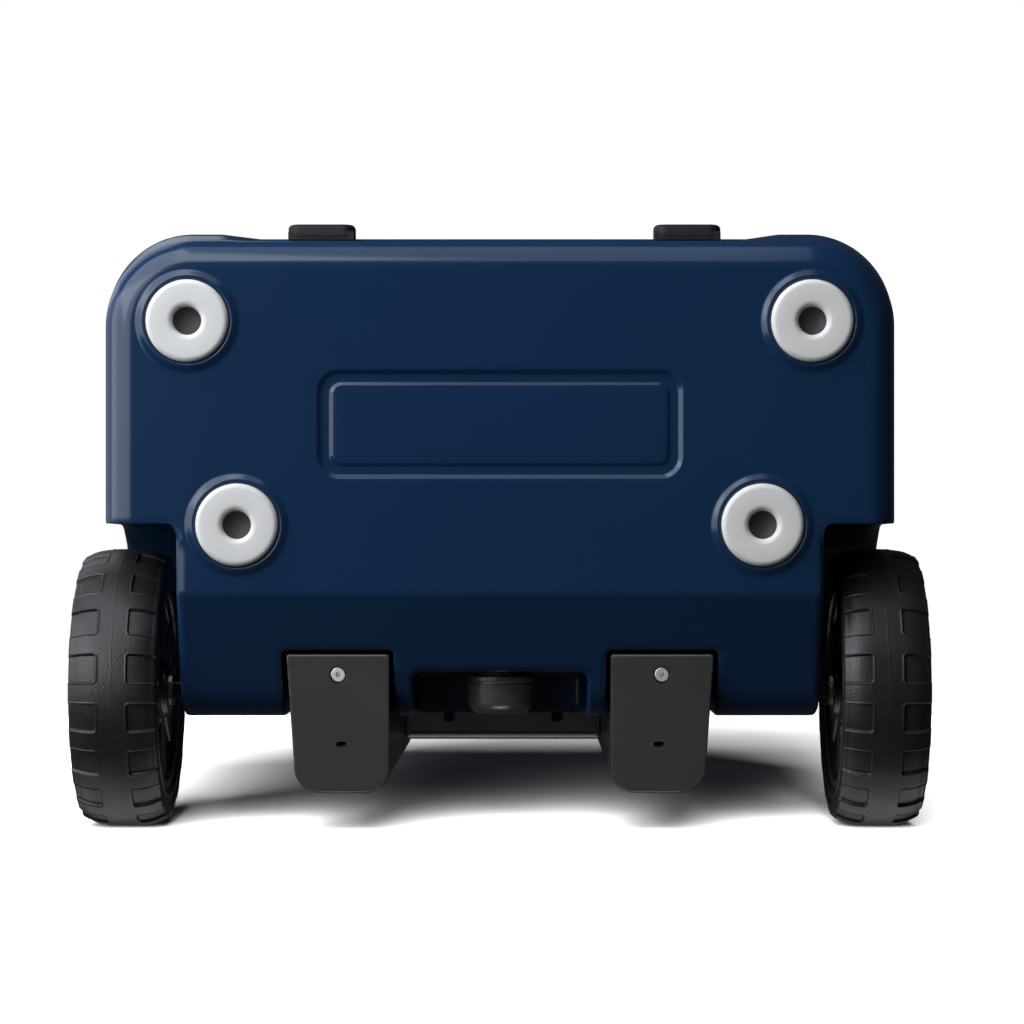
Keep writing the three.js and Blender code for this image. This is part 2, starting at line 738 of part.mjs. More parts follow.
function wheelHub() {

	const outer = RIM_RADIUS - GAP;
	const rim = ring( outer - 5, outer, TYRE_INNER_X + 2, TYRE_OUTER_X - 2, WHEEL_ROUND );
	const boss = ring( BUSHING_RADIUS + GAP, HUB_BOSS_RADIUS, TYRE_INNER_X + 1, TYRE_OUTER_X - 10 );
	const web = ring( HUB_BOSS_RADIUS - 2, outer - 3, TYRE_INNER_X + 5, WHEEL_MIDDLE + 8, WHEEL_ROUND );
	const windowOutline = rounded( [ [ 24, - 5, 2 ], [ 53, - 19, 3 ], [ 53, 19, 3 ], [ 24, 5, 2 ] ], 3 );
	const hole = prism( windowOutline, TYRE_INNER_X, TYRE_OUTER_X );
	let hub = joined( rim, boss, web );
	for ( let spoke = 0; spoke < SPOKES; spoke ++ ) hub = hub.subtract( hole.rotate( [ 0, 0, 360 * spoke / SPOKES ] ) );
	return hub;

}

const clipSeat = TYRE_OUTER_X - 9;
const axleEnd = TYRE_OUTER_X - 6;
const axleProfile = [
	[ 0, AXLE_INNER_X ], [ AXLE_RADIUS, AXLE_INNER_X ], [ AXLE_RADIUS, clipSeat ], [ AXLE_RADIUS - 1.2, clipSeat ],
	[ AXLE_RADIUS - 1.2, clipSeat + 1.8 ], [ AXLE_RADIUS, clipSeat + 1.8 ], [ AXLE_RADIUS, axleEnd ], [ 0, axleEnd ],
];
const capProfile = [
	[ 0, TYRE_OUTER_X - 4 ], [ HUB_BOSS_RADIUS - 4, TYRE_OUTER_X - 4 ], [ HUB_BOSS_RADIUS - 4, TYRE_OUTER_X - 10 + GAP ],
	[ HUB_BOSS_RADIUS, TYRE_OUTER_X - 10 + GAP ], [ HUB_BOSS_RADIUS, TYRE_OUTER_X - 3 ],
	[ HUB_BOSS_RADIUS - 3, TYRE_OUTER_X - 1 ], [ 0, TYRE_OUTER_X - 0.5 ],
];
for ( const [ name, side ] of SIDES ) {

	addPiece( `tyre_${ name }`, onAxle( tyre(), side ), tyreRubber );
	addPiece( `wheel_hub_${ name }`, onAxle( wheelHub(), side ), blackPlastic );
	const bushing = ring( AXLE_RADIUS + GAP, BUSHING_RADIUS, TYRE_INNER_X + 1, TYRE_OUTER_X - 11 );
	addPiece( `wheel_bushing_${ name }`, onAxle( bushing, side ), linerPlastic );
	addPiece( `stub_axle_${ name }`, onAxle( turned( axleProfile ), side ), steel );
	const spacer = ring( AXLE_RADIUS + GAP, SPACER_RADIUS, WELL_HALF_WIDTH + GAP, TYRE_INNER_X - 2 );
	addPiece( `axle_spacer_${ name }`, onAxle( spacer, side ), blackPlastic );
	const washer = ring( AXLE_RADIUS + GAP, 12, TYRE_INNER_X - 1.7, TYRE_INNER_X + 0.6 );
	addPiece( `axle_washer_${ name }`, onAxle( washer, side ), steel );
	const clip = ring( AXLE_RADIUS - 1.2 + GAP, 8, clipSeat + GAP, clipSeat + 1.5, 32 );
	addPiece( `axle_clip_${ name }`, onAxle( clip, side ), steel );
	addPiece( `hub_cap_${ name }`, onAxle( turned( capProfile ), side ), blackPlastic );

}

// ---- handle rails -------------------------------------------------------------------------
const INNER_TUBE = {
	width: OUTER_TUBE.width - 2 * ( OUTER_TUBE.wall + TUBE_FIT ),
	depth: OUTER_TUBE.depth - 2 * ( OUTER_TUBE.wall + TUBE_FIT ),
	wall: 1.5,
};

function railOutline( inset = 0 ) {

	return rounded( [
		[ RAIL_INNER_X + inset, RAIL_FRONT + inset, 2 ],
		[ RAIL_OUTER_X - inset, RAIL_FRONT + inset, 2 ],
		[ RAIL_OUTER_REAR_X - inset, RAIL_REAR - inset, 14 ],
		[ RAIL_INNER_X + inset, RAIL_REAR - inset, 14 ],
	], 5 );

}

function tubeOutline( { width, depth }, grow = 0 ) {

	return rectangle( RAIL_X - width / 2 - grow, TUBE_DEPTH - depth / 2 - grow,
		RAIL_X + width / 2 + grow, TUBE_DEPTH + depth / 2 + grow, 3.5 + grow, 4 );

}

const GUIDE_HEIGHT = 8;

function railHousing( side ) {

	const outside = prism( railOutline(), PLATE_TOP + GAP, RAIL_TOP );
	const bore = prism( tubeOutline( OUTER_TUBE, TUBE_FIT ), 0, FAR );
	const guideSeat = prism( tubeOutline( OUTER_TUBE, 2 + GAP ), RAIL_TOP - GUIDE_HEIGHT - GAP, FAR );
	const hollow = box( RAIL_INNER_X + 4, RAIL_FRONT + 26, 0, RAIL_OUTER_X - 10, TUBE_DEPTH - 12, RAIL_TOP - 6, 3 );
	const pilot = disc( 2.6, 0, 46 ).translate( [ RAIL_X, PLATE_SCREW_DEPTH, 0 ] );
	return mirrored( outside.subtract( joined( bore, guideSeat, hollow, pilot ) ), side );

}

const PLATE_SCREW_DEPTH = 261.6;
const PLATE_SLOT_DEPTH = 303.6;

function endPlate( side ) {

	const slot = rectangle( RAIL_X - 5, PLATE_SLOT_DEPTH - 1.5, RAIL_X + 1, PLATE_SLOT_DEPTH + 1.5, 1.45 );
	const screwSeat = disc( 5, 0, PLATE_BOTTOM + 2.2 ).add( disc( 2.8, 0, FAR ) );
	const cut = prism( slot, 0, FAR ).add( screwSeat.translate( [ RAIL_X, PLATE_SCREW_DEPTH, 0 ] ) );
	return mirrored( prism( railOutline(), PLATE_BOTTOM, PLATE_TOP ).subtract( cut ), side );

}

const plateScrewProfile = [
	[ 0, PLATE_BOTTOM + 0.3 ], [ 3.6, PLATE_BOTTOM + 0.3 ], [ 4.6, PLATE_BOTTOM + 1 ], [ 4.6, PLATE_BOTTOM + 1.9 ],
	[ 2.3, PLATE_BOTTOM + 1.9 ], [ 2.3, PLATE_BOTTOM + 24 ], [ 0, PLATE_BOTTOM + 25 ],
];

function tube( section, low, high, side ) {

	const outer = prism( tubeOutline( section ), low, high );
	const bore = prism( tubeOutline( section, - section.wall ), low - 1, high + 1 );
	return mirrored( outer.subtract( bore ), side );

}

const OUTER_TUBE_TOP = RAIL_TOP + 3;
const INNER_TUBE_BOTTOM = TUBE_BOTTOM + 4;
const INNER_TUBE_TOP = GRIP_TOP - 8;
for ( const [ name, side ] of SIDES ) {

	addPiece( `rail_housing_${ name }`, railHousing( side ), blackPlastic );
	addPiece( `rail_end_plate_${ name }`, endPlate( side ), blackPlastic );
	const screw = turned( plateScrewProfile, SCREW_ROUND ).translate( [ side * RAIL_X, PLATE_SCREW_DEPTH, 0 ] );
	addPiece( `end_plate_screw_${ name }`, screw, steel );
	const guide = prism( tubeOutline( OUTER_TUBE, 2 ), RAIL_TOP - GUIDE_HEIGHT, RAIL_TOP + 1 )
		.subtract( prism( tubeOutline( OUTER_TUBE, TUBE_FIT ), 0, FAR ) );
	addPiece( `tube_guide_${ name }`, mirrored( guide, side ), blackPlastic );
	addPiece( `outer_tube_${ name }`, tube( OUTER_TUBE, TUBE_BOTTOM, OUTER_TUBE_TOP, side ), aluminium );
	addPiece( `inner_tube_${ name }`, tube( INNER_TUBE, INNER_TUBE_BOTTOM, INNER_TUBE_TOP, side ), aluminium );

}

// ---- bridge between the rails -------------------------------------------------------------
const BRIDGE_SCREW = { x: 37, depth: 300 };

function bridge() {

	const half = RAIL_INNER_X - GAP;
	const outside = box( - half, BACK_DEPTH + GAP, BRIDGE_BOTTOM, half, BRIDGE_REAR, BRIDGE_TOP, 2 );
	let body = outside;
	for ( const [ , side ] of SIDES ) {

		const seat = disc( 4.4, 0, BRIDGE_BOTTOM + 2 ).add( disc( 1.9, 0, BRIDGE_BOTTOM + 16 ) );
		body = body.subtract( seat.translate( [ side * BRIDGE_SCREW.x, BRIDGE_SCREW.depth, 0 ] ) );

	}

	return body;

}

const bridgeScrewProfile = [
	[ 0, BRIDGE_BOTTOM + 0.2 ], [ 3.6, BRIDGE_BOTTOM + 0.2 ], [ 3.6, BRIDGE_BOTTOM + 1.7 ],
	[ 1.6, BRIDGE_BOTTOM + 1.7 ], [ 1.6, BRIDGE_BOTTOM + 15 ], [ 0, BRIDGE_BOTTOM + 15.5 ],
];
addPiece( 'handle_bridge', bridge(), blackPlastic );
for ( const [ name, side ] of SIDES ) {

	const screw = turned( bridgeScrewProfile, SCREW_ROUND ).translate( [ side * BRIDGE_SCREW.x, BRIDGE_SCREW.depth, 0 ] );
	addPiece( `bridge_screw_${ name }`, screw, blackSteel );

}

// ---- grip and release button --------------------------------------------------------------
const BUTTON_HALF_DEPTH = 5.5;
const BUTTON_FLOOR = GRIP_TOP - 11;

function grip() {

	const section = rectangle(
		TUBE_DEPTH - GRIP_HALF_DEPTH, GRIP_BOTTOM, TUBE_DEPTH + GRIP_HALF_DEPTH, GRIP_TOP, 9 );
	const bar = prismAlongX( section, - GRIP_HALF_LENGTH, GRIP_HALF_LENGTH );
	const ends = prism( rectangle( - GRIP_HALF_LENGTH, TUBE_DEPTH - GRIP_HALF_DEPTH,
		GRIP_HALF_LENGTH, TUBE_DEPTH + GRIP_HALF_DEPTH, 9 ), GRIP_BOTTOM, GRIP_TOP );
	const well = box( - BUTTON_HALF_LENGTH - GAP, TUBE_DEPTH - BUTTON_HALF_DEPTH - GAP, BUTTON_FLOOR,
		BUTTON_HALF_LENGTH + GAP, TUBE_DEPTH + BUTTON_HALF_DEPTH + GAP, FAR, 4 );
	let body = bar.intersect( ends ).subtract( well );
	for ( const [ , side ] of SIDES ) {

		const socket = prism( tubeOutline( INNER_TUBE, GAP ), 0, INNER_TUBE_TOP + GAP );
		body = body.subtract( mirrored( socket, side ) );

	}

	return body;

}

function releaseButton() {

	const cap = box( - BUTTON_HALF_LENGTH, TUBE_DEPTH - BUTTON_HALF_DEPTH, BUTTON_FLOOR + BUTTON_TRAVEL + 1,
		BUTTON_HALF_LENGTH, TUBE_DEPTH + BUTTON_HALF_DEPTH, GRIP_TOP + 2, 4 );
	return cap;

}

addPiece( 'handle_grip', grip(), blackPlastic );
addPiece( 'release_button', releaseButton(), blackRubber );
const spring = ring( 2.2, 3.2, BUTTON_FLOOR + GAP, BUTTON_FLOOR + BUTTON_TRAVEL + 1 - GAP, 24 );
addPiece( 'button_spring', spring.translate( [ 0, TUBE_DEPTH, 0 ] ), steel );

// ---- drain --------------------------------------------------------------------------------
const plugSeat = DRAIN_RECESS.front;
const drainPlugProfile = [
	[ 0, plugSeat - 16 ], [ DRAIN_BORE_RADIUS - 0.6, plugSeat - 16 ], [ DRAIN_BORE_RADIUS - 0.6, plugSeat + 3 ],
	[ DRAIN_PLUG_RADIUS, plugSeat + 3 ], [ DRAIN_PLUG_RADIUS, BACK_DEPTH - 8 ],
	[ DRAIN_PLUG_RADIUS - 2, BACK_DEPTH - 4 ], [ DRAIN_PLUG_RADIUS - 7, BACK_DEPTH - 1.5 ], [ 0, BACK_DEPTH - 1 ],
];
addPiece( 'drain_plug', onDrain( turned( drainPlugProfile ) ), blackPlastic );
const drainGasket = ring( DRAIN_BORE_RADIUS + GAP, 15, plugSeat + GAP, plugSeat + 3 - GAP );
addPiece( 'drain_gasket', onDrain( drainGasket ), gasketRubber );

export default part;
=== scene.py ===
"""Wheeled hard cooler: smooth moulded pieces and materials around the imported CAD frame.

Shapes are written as distance fields in millimetres, negative inside, and turned into meshes.
x runs across, d is the depth from the front edge of the base towards the back, z is up.
"""
import json
import math

import bpy
import numpy as np
from mathutils import Matrix, Vector


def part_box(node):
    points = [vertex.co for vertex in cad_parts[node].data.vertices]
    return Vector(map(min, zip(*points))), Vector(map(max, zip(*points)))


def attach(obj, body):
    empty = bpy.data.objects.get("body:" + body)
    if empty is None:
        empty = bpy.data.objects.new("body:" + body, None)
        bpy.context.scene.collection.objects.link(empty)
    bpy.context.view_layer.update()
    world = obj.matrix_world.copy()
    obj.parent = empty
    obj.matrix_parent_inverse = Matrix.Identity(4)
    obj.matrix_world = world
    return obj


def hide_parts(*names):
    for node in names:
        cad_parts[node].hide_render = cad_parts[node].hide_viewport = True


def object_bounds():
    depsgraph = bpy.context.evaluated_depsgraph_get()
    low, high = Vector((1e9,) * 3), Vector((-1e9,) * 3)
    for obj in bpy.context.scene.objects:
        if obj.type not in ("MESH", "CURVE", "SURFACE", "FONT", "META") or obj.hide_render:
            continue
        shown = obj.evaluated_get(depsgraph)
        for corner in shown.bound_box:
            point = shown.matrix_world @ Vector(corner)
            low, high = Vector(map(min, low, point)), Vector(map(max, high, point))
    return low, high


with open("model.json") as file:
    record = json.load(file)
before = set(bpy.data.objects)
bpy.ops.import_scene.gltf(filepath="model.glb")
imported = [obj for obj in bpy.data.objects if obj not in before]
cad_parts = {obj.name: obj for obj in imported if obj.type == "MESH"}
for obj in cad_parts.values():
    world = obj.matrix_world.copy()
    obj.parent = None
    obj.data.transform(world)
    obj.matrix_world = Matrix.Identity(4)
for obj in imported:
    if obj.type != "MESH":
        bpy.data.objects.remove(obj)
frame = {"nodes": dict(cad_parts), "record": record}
cad_low, cad_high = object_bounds()
STEP_SCALE = 1
MM = 0.001


def span(node):
    """Lowest and highest corner of a CAD node in millimetres."""
    low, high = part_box(node)
    return np.array(low) / MM, np.array(high) / MM


def middle(node):
    """Middle of a CAD node as x, depth and height."""
    low, high = span(node)
    return (low + high) / 2 - np.array([0, DEPTH_ORIGIN, 0])


def depths(node):
    """Depth of the front and the back of a CAD node."""
    low, high = span(node)
    return low[1] - DEPTH_ORIGIN, high[1] - DEPTH_ORIGIN


def heights(node):
    low, high = span(node)
    return low[2], high[2]


# ---- driving places, from the frame ----
BASE_DEPTH = 288.0  # front edge of the base to the back face
DEPTH_ORIGIN = span("lid_shell")[1][1] - BASE_DEPTH
BASE = heights("cooler_body")[0]
RIM = 425.0
BASE_HALF = 237.8
SIDE_SLOPE = math.tan(math.radians(2.6))
FRONT_SLOPE = math.tan(math.radians(5.2))
AXLE_RADIUS = 5
AXLE_DEPTH = span("stub_axle_left")[0][1] + AXLE_RADIUS - DEPTH_ORIGIN
AXLE_HEIGHT = heights("stub_axle_left")[0] + AXLE_RADIUS
TYRE_IN, TYRE_OUT = span("tyre_right")[0][0], span("tyre_right")[1][0]
WHEEL_RADIUS = (heights("tyre_right")[1] - heights("tyre_right")[0]) / 2
RAIL_X = 98.0
RAIL_FRONT, RAIL_REAR = depths("rail_end_plate_right")
PLATE_LOW, PLATE_HIGH = heights("rail_end_plate_right")
RAIL_TOP = heights("rail_housing_right")[1]
TUBE_DEPTH = middle("outer_tube_right")[1]
DRAIN_HEIGHT = 56.0
HINGE_DEPTH, HINGE_HEIGHT = middle("hinge_pin_right")[1:]
LATCH_X, PIN_DEPTH, PIN_HEIGHT = middle("latch_pin_right")
LATCH_HALF = (span("latch_right")[1][0] - span("latch_right")[0][0]) / 2
LATCH_OUT = depths("latch_right")[0]
LATCH_LOW, LATCH_HIGH = heights("latch_right")


# ---- distance fields ----
def both(a, b, r):
    """Where both are inside, with the edge between them rounded to radius r."""
    return np.minimum(-r, np.maximum(a, b)) + np.hypot(np.maximum(a + r, 0), np.maximum(b + r, 0))


def either(a, b, r):
    """Where either is inside, with a fillet of radius r in the corner."""
    return np.maximum(r, np.minimum(a, b)) - np.hypot(np.maximum(r - a, 0), np.maximum(r - b, 0))


def without(a, b, r):
    """a with b cut away and the edge rounded to radius r."""
    return both(a, -b, r)


def block(x, d, z, low, high, r):
    """Box from corner to corner with edges rounded to radius r."""
    parts = []
    for value, a, b in zip((x, d, z), low, high):
        parts.append(abs(value - (a + b) / 2) - (b - a) / 2 + r)
    outside = np.sqrt(sum(np.maximum(p, 0) ** 2 for p in parts))
    inside = np.minimum(np.maximum(np.maximum(parts[0], parts[1]), parts[2]), 0)
    return outside + inside - r


def flat_box(u, v, half_u, half_v, r):
    """Signed distance to a rounded rectangle centred on 0."""
    a, b = abs(u) - half_u + r, abs(v) - half_v + r
    return np.hypot(np.maximum(a, 0), np.maximum(b, 0)) + np.minimum(np.maximum(a, b), 0) - r


def slab(value, low, high):
    return abs(value - (low + high) / 2) - (high - low) / 2


def ramp(value, start, end):
    """0 before start, 1 after end, smooth between."""
    t = np.clip((value - start) / (end - start), 0, 1)
    return t * t * (3 - 2 * t)


# ---- mesh from a field ----
def graded(low, high, fine, zones, coarse=None):
    """Stations from low to high: fine steps inside the zones, wider ones away from them."""
    stations = [low]
    while stations[-1] < high:
        here = stations[-1]
        away = min(max(start - here, here - end, 0) for start, end in zones)
        stations.append(min(here + min(max(away, fine), coarse or fine * 4.5), high))
    return np.array(stations)


def contour(field, low, high, step, zones=None):
    """Vertices and quads of the surface where the field is zero, with sharp edges kept.

    Dual contouring: one vertex for each crossed cell, where the planes through its crossings
    meet. zones are the stretches of height with fine steps; without them all steps are alike.
    """
    low, high = np.array(low, float) - step * 1.03, np.array(high, float) + step * 1.03
    axes = [np.arange(low[a], high[a] + step, step) for a in range(2)]
    axes.append(graded(low[2], high[2] + step, step, zones or ((low[2], high[2] + step),)))
    count = np.array([len(axis) for axis in axes])
    values = np.empty(tuple(count), np.float32)
    for start in range(0, count[0], 16):
        rows = slice(start, start + 16)
        values[rows] = field(*np.meshgrid(axes[0][rows], axes[1], axes[2], indexing="ij"))
    inside = values < 0
    cells = count - 1
    cell_index = np.arange(cells.prod()).reshape(tuple(cells))
    hits, owners = [], []
    for a in range(3):
        lower, upper = [slice(None)] * 3, [slice(None)] * 3
        lower[a], upper[a] = slice(0, -1), slice(1, None)
        b, c = (a + 1) % 3, (a + 2) % 3
        grid = np.stack(np.nonzero(inside[tuple(lower)] != inside[tuple(upper)]))
        grid = grid[:, (grid[b] > 0) & (grid[c] > 0) & (grid[b] < cells[b]) & (grid[c] < cells[c])]
        end = grid.copy()
        end[a] += 1
        first, last = values[tuple(grid)].astype(float), values[tuple(end)].astype(float)
        point = np.stack([axes[k][grid[k]] for k in range(3)], 1)
        length = axes[a][end[a]] - axes[a][grid[a]]
        point[:, a] += length * first / (first - last)
        slope = (last - first) / length
        slope = np.where(abs(slope) < 0.05, 0.05, slope)
        for _ in range(2):
            point[:, a] -= np.clip(field(*point.T) / slope, -length / 2, length / 2)
        point[:, a] = np.clip(point[:, a], axes[a][grid[a]], axes[a][end[a]])
        sharing = []
        for shift_b, shift_c in ((0, 0), (-1, 0), (-1, -1), (0, -1)):
            cell = grid.copy()
            cell[b] += shift_b
            cell[c] += shift_c
            sharing.append(cell_index[tuple(cell)])
        sharing = np.stack(sharing, 1)
        entering = ~inside[tuple(grid)]
        sharing[entering] = sharing[entering][:, ::-1]
        hits.append(point)
        owners.append(sharing)
    hits, owners = np.concatenate(hits), np.concatenate(owners)
    normal = gradient(field, hits, step * 0.02)
    used, quads = np.unique(owners.ravel(), return_inverse=True)
    total = len(used)

    def gather(amount):
        return np.bincount(quads, np.repeat(amount, 4), total)

    number = np.bincount(quads, minlength=total)
    centre = np.stack([gather(hits[:, k]) / number for k in range(3)], 1)
    reach = np.einsum("ij,ij->i", normal, hits)
    matrix = np.empty((total, 3, 3))
    right = np.empty((total, 3))
    for i in range(3):
        right[:, i] = gather(normal[:, i] * reach)
        for j in range(i, 3):
            matrix[:, i, j] = matrix[:, j, i] = gather(normal[:, i] * normal[:, j])
    right -= np.einsum("nij,nj->ni", matrix, centre)
    matrix += np.eye(3) * 0.05
    points = centre + np.linalg.solve(matrix, right[..., None])[..., 0]
    for a, corner in enumerate(np.unravel_index(used, tuple(cells))):
        lowest, highest = axes[a][corner] - step / 4, axes[a][corner + 1] + step / 4
        points[:, a] = np.clip(points[:, a], lowest, highest)
    return points, quads.reshape(-1, 4)


def gradient(field, points, h):
    """Unit normals of the field at the points."""
    steps = np.eye(3) * h
    normal = np.stack([field(*(points + s).T) - field(*(points - s).T) for s in steps], 1)
    return normal / (np.linalg.norm(normal, axis=1, keepdims=True) + 1e-12)


def to_frame(points):
    """Millimetres with d as depth to metres in the frame."""
    return (points + np.array([0, DEPTH_ORIGIN, 0])) * MM


def make_object(name, points, faces, sharp=35):
    """Smooth mesh object, with edges over sharp degrees kept crisp."""
    mesh = bpy.data.meshes.new(name)
    mesh.vertices.add(len(points))
    mesh.vertices.foreach_set("co", points.astype(np.float32).ravel())
    sides = faces.shape[1]
    mesh.loops.add(faces.size)
    mesh.loops.foreach_set("vertex_index", faces.astype(np.int32).ravel())
    mesh.polygons.add(len(faces))
    mesh.polygons.foreach_set("loop_start", np.arange(0, faces.size, sides, dtype=np.int32))
    mesh.update(calc_edges=True)
    mesh.validate()
    mesh.polygons.foreach_set("use_smooth", np.ones(len(mesh.polygons), bool))
    mesh.set_sharp_from_angle(angle=math.radians(sharp))
    obj = bpy.data.objects.new(name, mesh)
    bpy.context.scene.collection.objects.link(obj)
    return obj


def finish_piece(obj, node, slot):
    """Puts a finished mesh in the place of one CAD node, on that node's body."""
    bodies = frame["record"]["behaviour"]["bodies"]
    obj.data.materials.append(MATERIALS[slot])
    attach(obj, next(body for body, nodes in bodies.items() if node in nodes))
    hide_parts(node)


def moulded(node, field, low, high, step, slot, zones=None):
    """One piece from a field, standing for one CAD node."""
    points, faces = contour(field, low, high, step * STEP_SCALE, zones)
    finish_piece(make_object(f"{node}_skin", to_frame(points), faces), node, slot)


def moulded_pair(name, field, low, high, step, slot, zones=None):
    """A right-hand piece from a field, and its mirror image on the left."""
    points, faces = contour(field, low, high, step * STEP_SCALE, zones)
    for side, sign in (("right", 1), ("left", -1)):
        node = f"{name}_{side}"
        placed = to_frame(points * np.array([sign, 1, 1]))
        obj = make_object(f"{node}_skin", placed, faces if sign > 0 else faces[:, ::-1])
        finish_piece(obj, node, slot)


def ringed(loops):
    """Quads between loops of equal length, one after the other."""
    count, length = len(loops), len(loops[0])
    i, a = np.meshgrid(np.arange(count - 1), np.arange(length), indexing="ij")
    here, there, b = i * length, (i + 1) * length, (a + 1) % length
    faces = np.stack([here + a, here + b, there + b, there + a], 2).reshape(-1, 4)
    return np.concatenate(loops), faces


def joined(*meshes):
    """Several sets of points and quads as one."""
    points = np.concatenate([mesh[0] for mesh in meshes])
    starts = np.cumsum([0] + [len(mesh[0]) for mesh in meshes[:-1]])
    return points, np.concatenate([mesh[1] + start for mesh, start in zip(meshes, starts)])


def torus_quads(segments, count):
    """Quads of a closed section of count points carried once round, segment by segment."""
    a, i = np.meshgrid(np.arange(segments), np.arange(count), indexing="ij")
    here, there, j = a * count, (a + 1) % segments * count, (i + 1) % count
    return np.stack([here + i, there + i, there + j, here + j], 2).reshape(-1, 4)


def turned(profile, segments):
    """Points and quads of a closed profile of (radius, height) turned about Z."""
    ring = np.array(profile, float)
    angles = np.arange(segments) * 2 * math.pi / segments
    cos, sin = np.cos(angles)[:, None], np.sin(angles)[:, None]
    points = np.stack([ring[:, 0] * cos, ring[:, 0] * sin, ring[:, 1] + 0 * cos], 2)
    return points.reshape(-1, 3), torus_quads(segments, len(ring))


# ---- materials ----
class Material:
    """A Principled material with its own small tree of procedural nodes."""

    def __init__(self, name, color, roughness, metallic=0.0, specular=0.5):
        self.material = bpy.data.materials.new(name)
        self.material.use_nodes = True
        self.tree = self.material.node_tree
        self.shader = self.tree.nodes["Principled BSDF"]
        self.shader.inputs["Base Color"].default_value = (*color, 1)
        self.shader.inputs["Roughness"].default_value = roughness
        self.shader.inputs["Metallic"].default_value = metallic
        self.shader.inputs["Specular IOR Level"].default_value = specular
        self.place = self.tree.nodes.new("ShaderNodeTexCoord").outputs["Object"]
        self.height = None

    def link(self, source, target):
        self.tree.links.new(source, target)

    def noise(self, scale, detail, stretch=None):
        """Noise from 0 to 1, in waves of about one part in scale of a metre."""
        made = self.tree.nodes.new("ShaderNodeTexNoise")
        made.inputs["Scale"].default_value = scale
        made.inputs["Detail"].default_value = detail
        source = self.place
        if stretch:
            mapping = self.tree.nodes.new("ShaderNodeMapping")
            mapping.inputs["Scale"].default_value = stretch
            self.link(source, mapping.inputs["Vector"])
            source = mapping.outputs["Vector"]
        self.link(source, made.inputs["Vector"])
        return made.outputs["Fac"]

    def vary_color(self, value, dark, light):
        """Colour from dark to light over the middle of a 0 to 1 value."""
        made = self.tree.nodes.new("ShaderNodeValToRGB")
        for end, place, color in zip(made.color_ramp.elements, (0.35, 0.65), (dark, light)):
            end.position = place
            end.color = (*color, 1)
        self.link(value, made.inputs["Fac"])
        self.link(made.outputs["Color"], self.shader.inputs["Base Color"])

    def vary_roughness(self, value, low, high):
        """Roughness from low to high over the middle of a 0 to 1 value."""
        made = self.tree.nodes.new("ShaderNodeMapRange")
        limits = {"From Min": 0.3, "From Max": 0.7, "To Min": low, "To Max": high}
        for key, number in limits.items():
            made.inputs[key].default_value = number
        self.link(value, made.inputs["Value"])
        self.link(made.outputs["Result"], self.shader.inputs["Roughness"])

    def bump(self, value, distance):
        """Relief of a given depth in metres, on top of any laid before."""
        made = self.tree.nodes.new("ShaderNodeBump")
        made.inputs["Distance"].default_value = distance
        made.inputs["Strength"].default_value = 1
        self.link(value, made.inputs["Height"])
        if self.height:
            self.link(self.height, made.inputs["Normal"])
        self.height = made.outputs["Normal"]
        self.link(self.height, self.shader.inputs["Normal"])


def tint(color, amount):
    return tuple(c * amount for c in color)


def plastic(name, color, roughness, grain=0.00005, wave=0.0, patchy=0.07):
    """Moulded plastic: fine grain, faint flow marks and a slightly uneven gloss."""
    made = Material(name, color, roughness)
    made.vary_color(made.noise(9, 4), tint(color, 1 - patchy), tint(color, 1 + patchy))
    made.vary_roughness(made.noise(38, 5), roughness - patchy / 3, roughness + patchy / 2)
    if wave:
        made.bump(made.noise(14, 1), wave)
    made.bump(made.noise(1400, 2), grain)
    return made.material


def rubber(name, color, roughness, grain=0.00008, dust=0.2):
    """Rubber: a pebbled mould texture with a dusty unevenness."""
    made = Material(name, color, roughness, specular=0.4)
    made.vary_color(made.noise(55, 5), tint(color, 1 - dust), tint(color, 1 + dust))
    made.vary_roughness(made.noise(70, 4), roughness - 0.06, roughness + 0.06)
    made.bump(made.noise(950, 3), grain)
    return made.material


def metal(name, color, roughness, stretch=(1, 1, 1)):
    """Plated or anodised metal with fine drawn lines."""
    made = Material(name, color, roughness, metallic=1.0)
    made.vary_color(made.noise(60, 4), tint(color, 0.9), tint(color, 1.08))
    made.vary_roughness(made.noise(240, 3, stretch), roughness - 0.05, roughness + 0.07)
    made.bump(made.noise(700, 2, stretch), 0.00001)
    return made.material


def foam_material(name, color):
    """Moulded foam: matt, with open cells."""
    made = Material(name, color, 0.95)
    made.vary_color(made.noise(160, 5), tint(color, 0.8), tint(color, 1.05))
    made.bump(made.noise(420, 4), 0.0006)
    return made.material


MATERIALS = {
    "navy_plastic": plastic("navy_moulded_plastic", (0.0062, 0.0252, 0.068), 0.17,
                            grain=0.000003, wave=0.00003, patchy=0.02),
    "black_plastic": plastic("black_moulded_plastic", (0.024, 0.024, 0.024), 0.32, grain=0.00002),
    "black_rubber": rubber("latch_rubber", (0.006, 0.006, 0.0063), 0.6, 0.00005),
    "tyre_rubber": rubber("tyre_rubber", (0.0135, 0.0135, 0.0136), 0.36, 0.0002, 0.15),
    "foot_rubber": rubber("pale_foot_rubber", (0.68, 0.665, 0.645), 0.6, 0.00003, 0.02),
    "gasket_rubber": rubber("gasket_rubber", (0.045, 0.046, 0.05), 0.62),
    "liner_plastic": plastic("liner_plastic", (0.74, 0.75, 0.73), 0.42),
    "steel": metal("zinc_plated_steel", (0.62, 0.62, 0.63), 0.3),
    "black_steel": plastic("black_oxide_steel", (0.024, 0.024, 0.0245), 0.6, grain=0.00001),
    "aluminium": metal("black_anodised_tube", (0.045, 0.046, 0.05), 0.33, (8, 8, 0.4)),
    "foam": foam_material("insulating_foam", (0.72, 0.64, 0.38)),
}


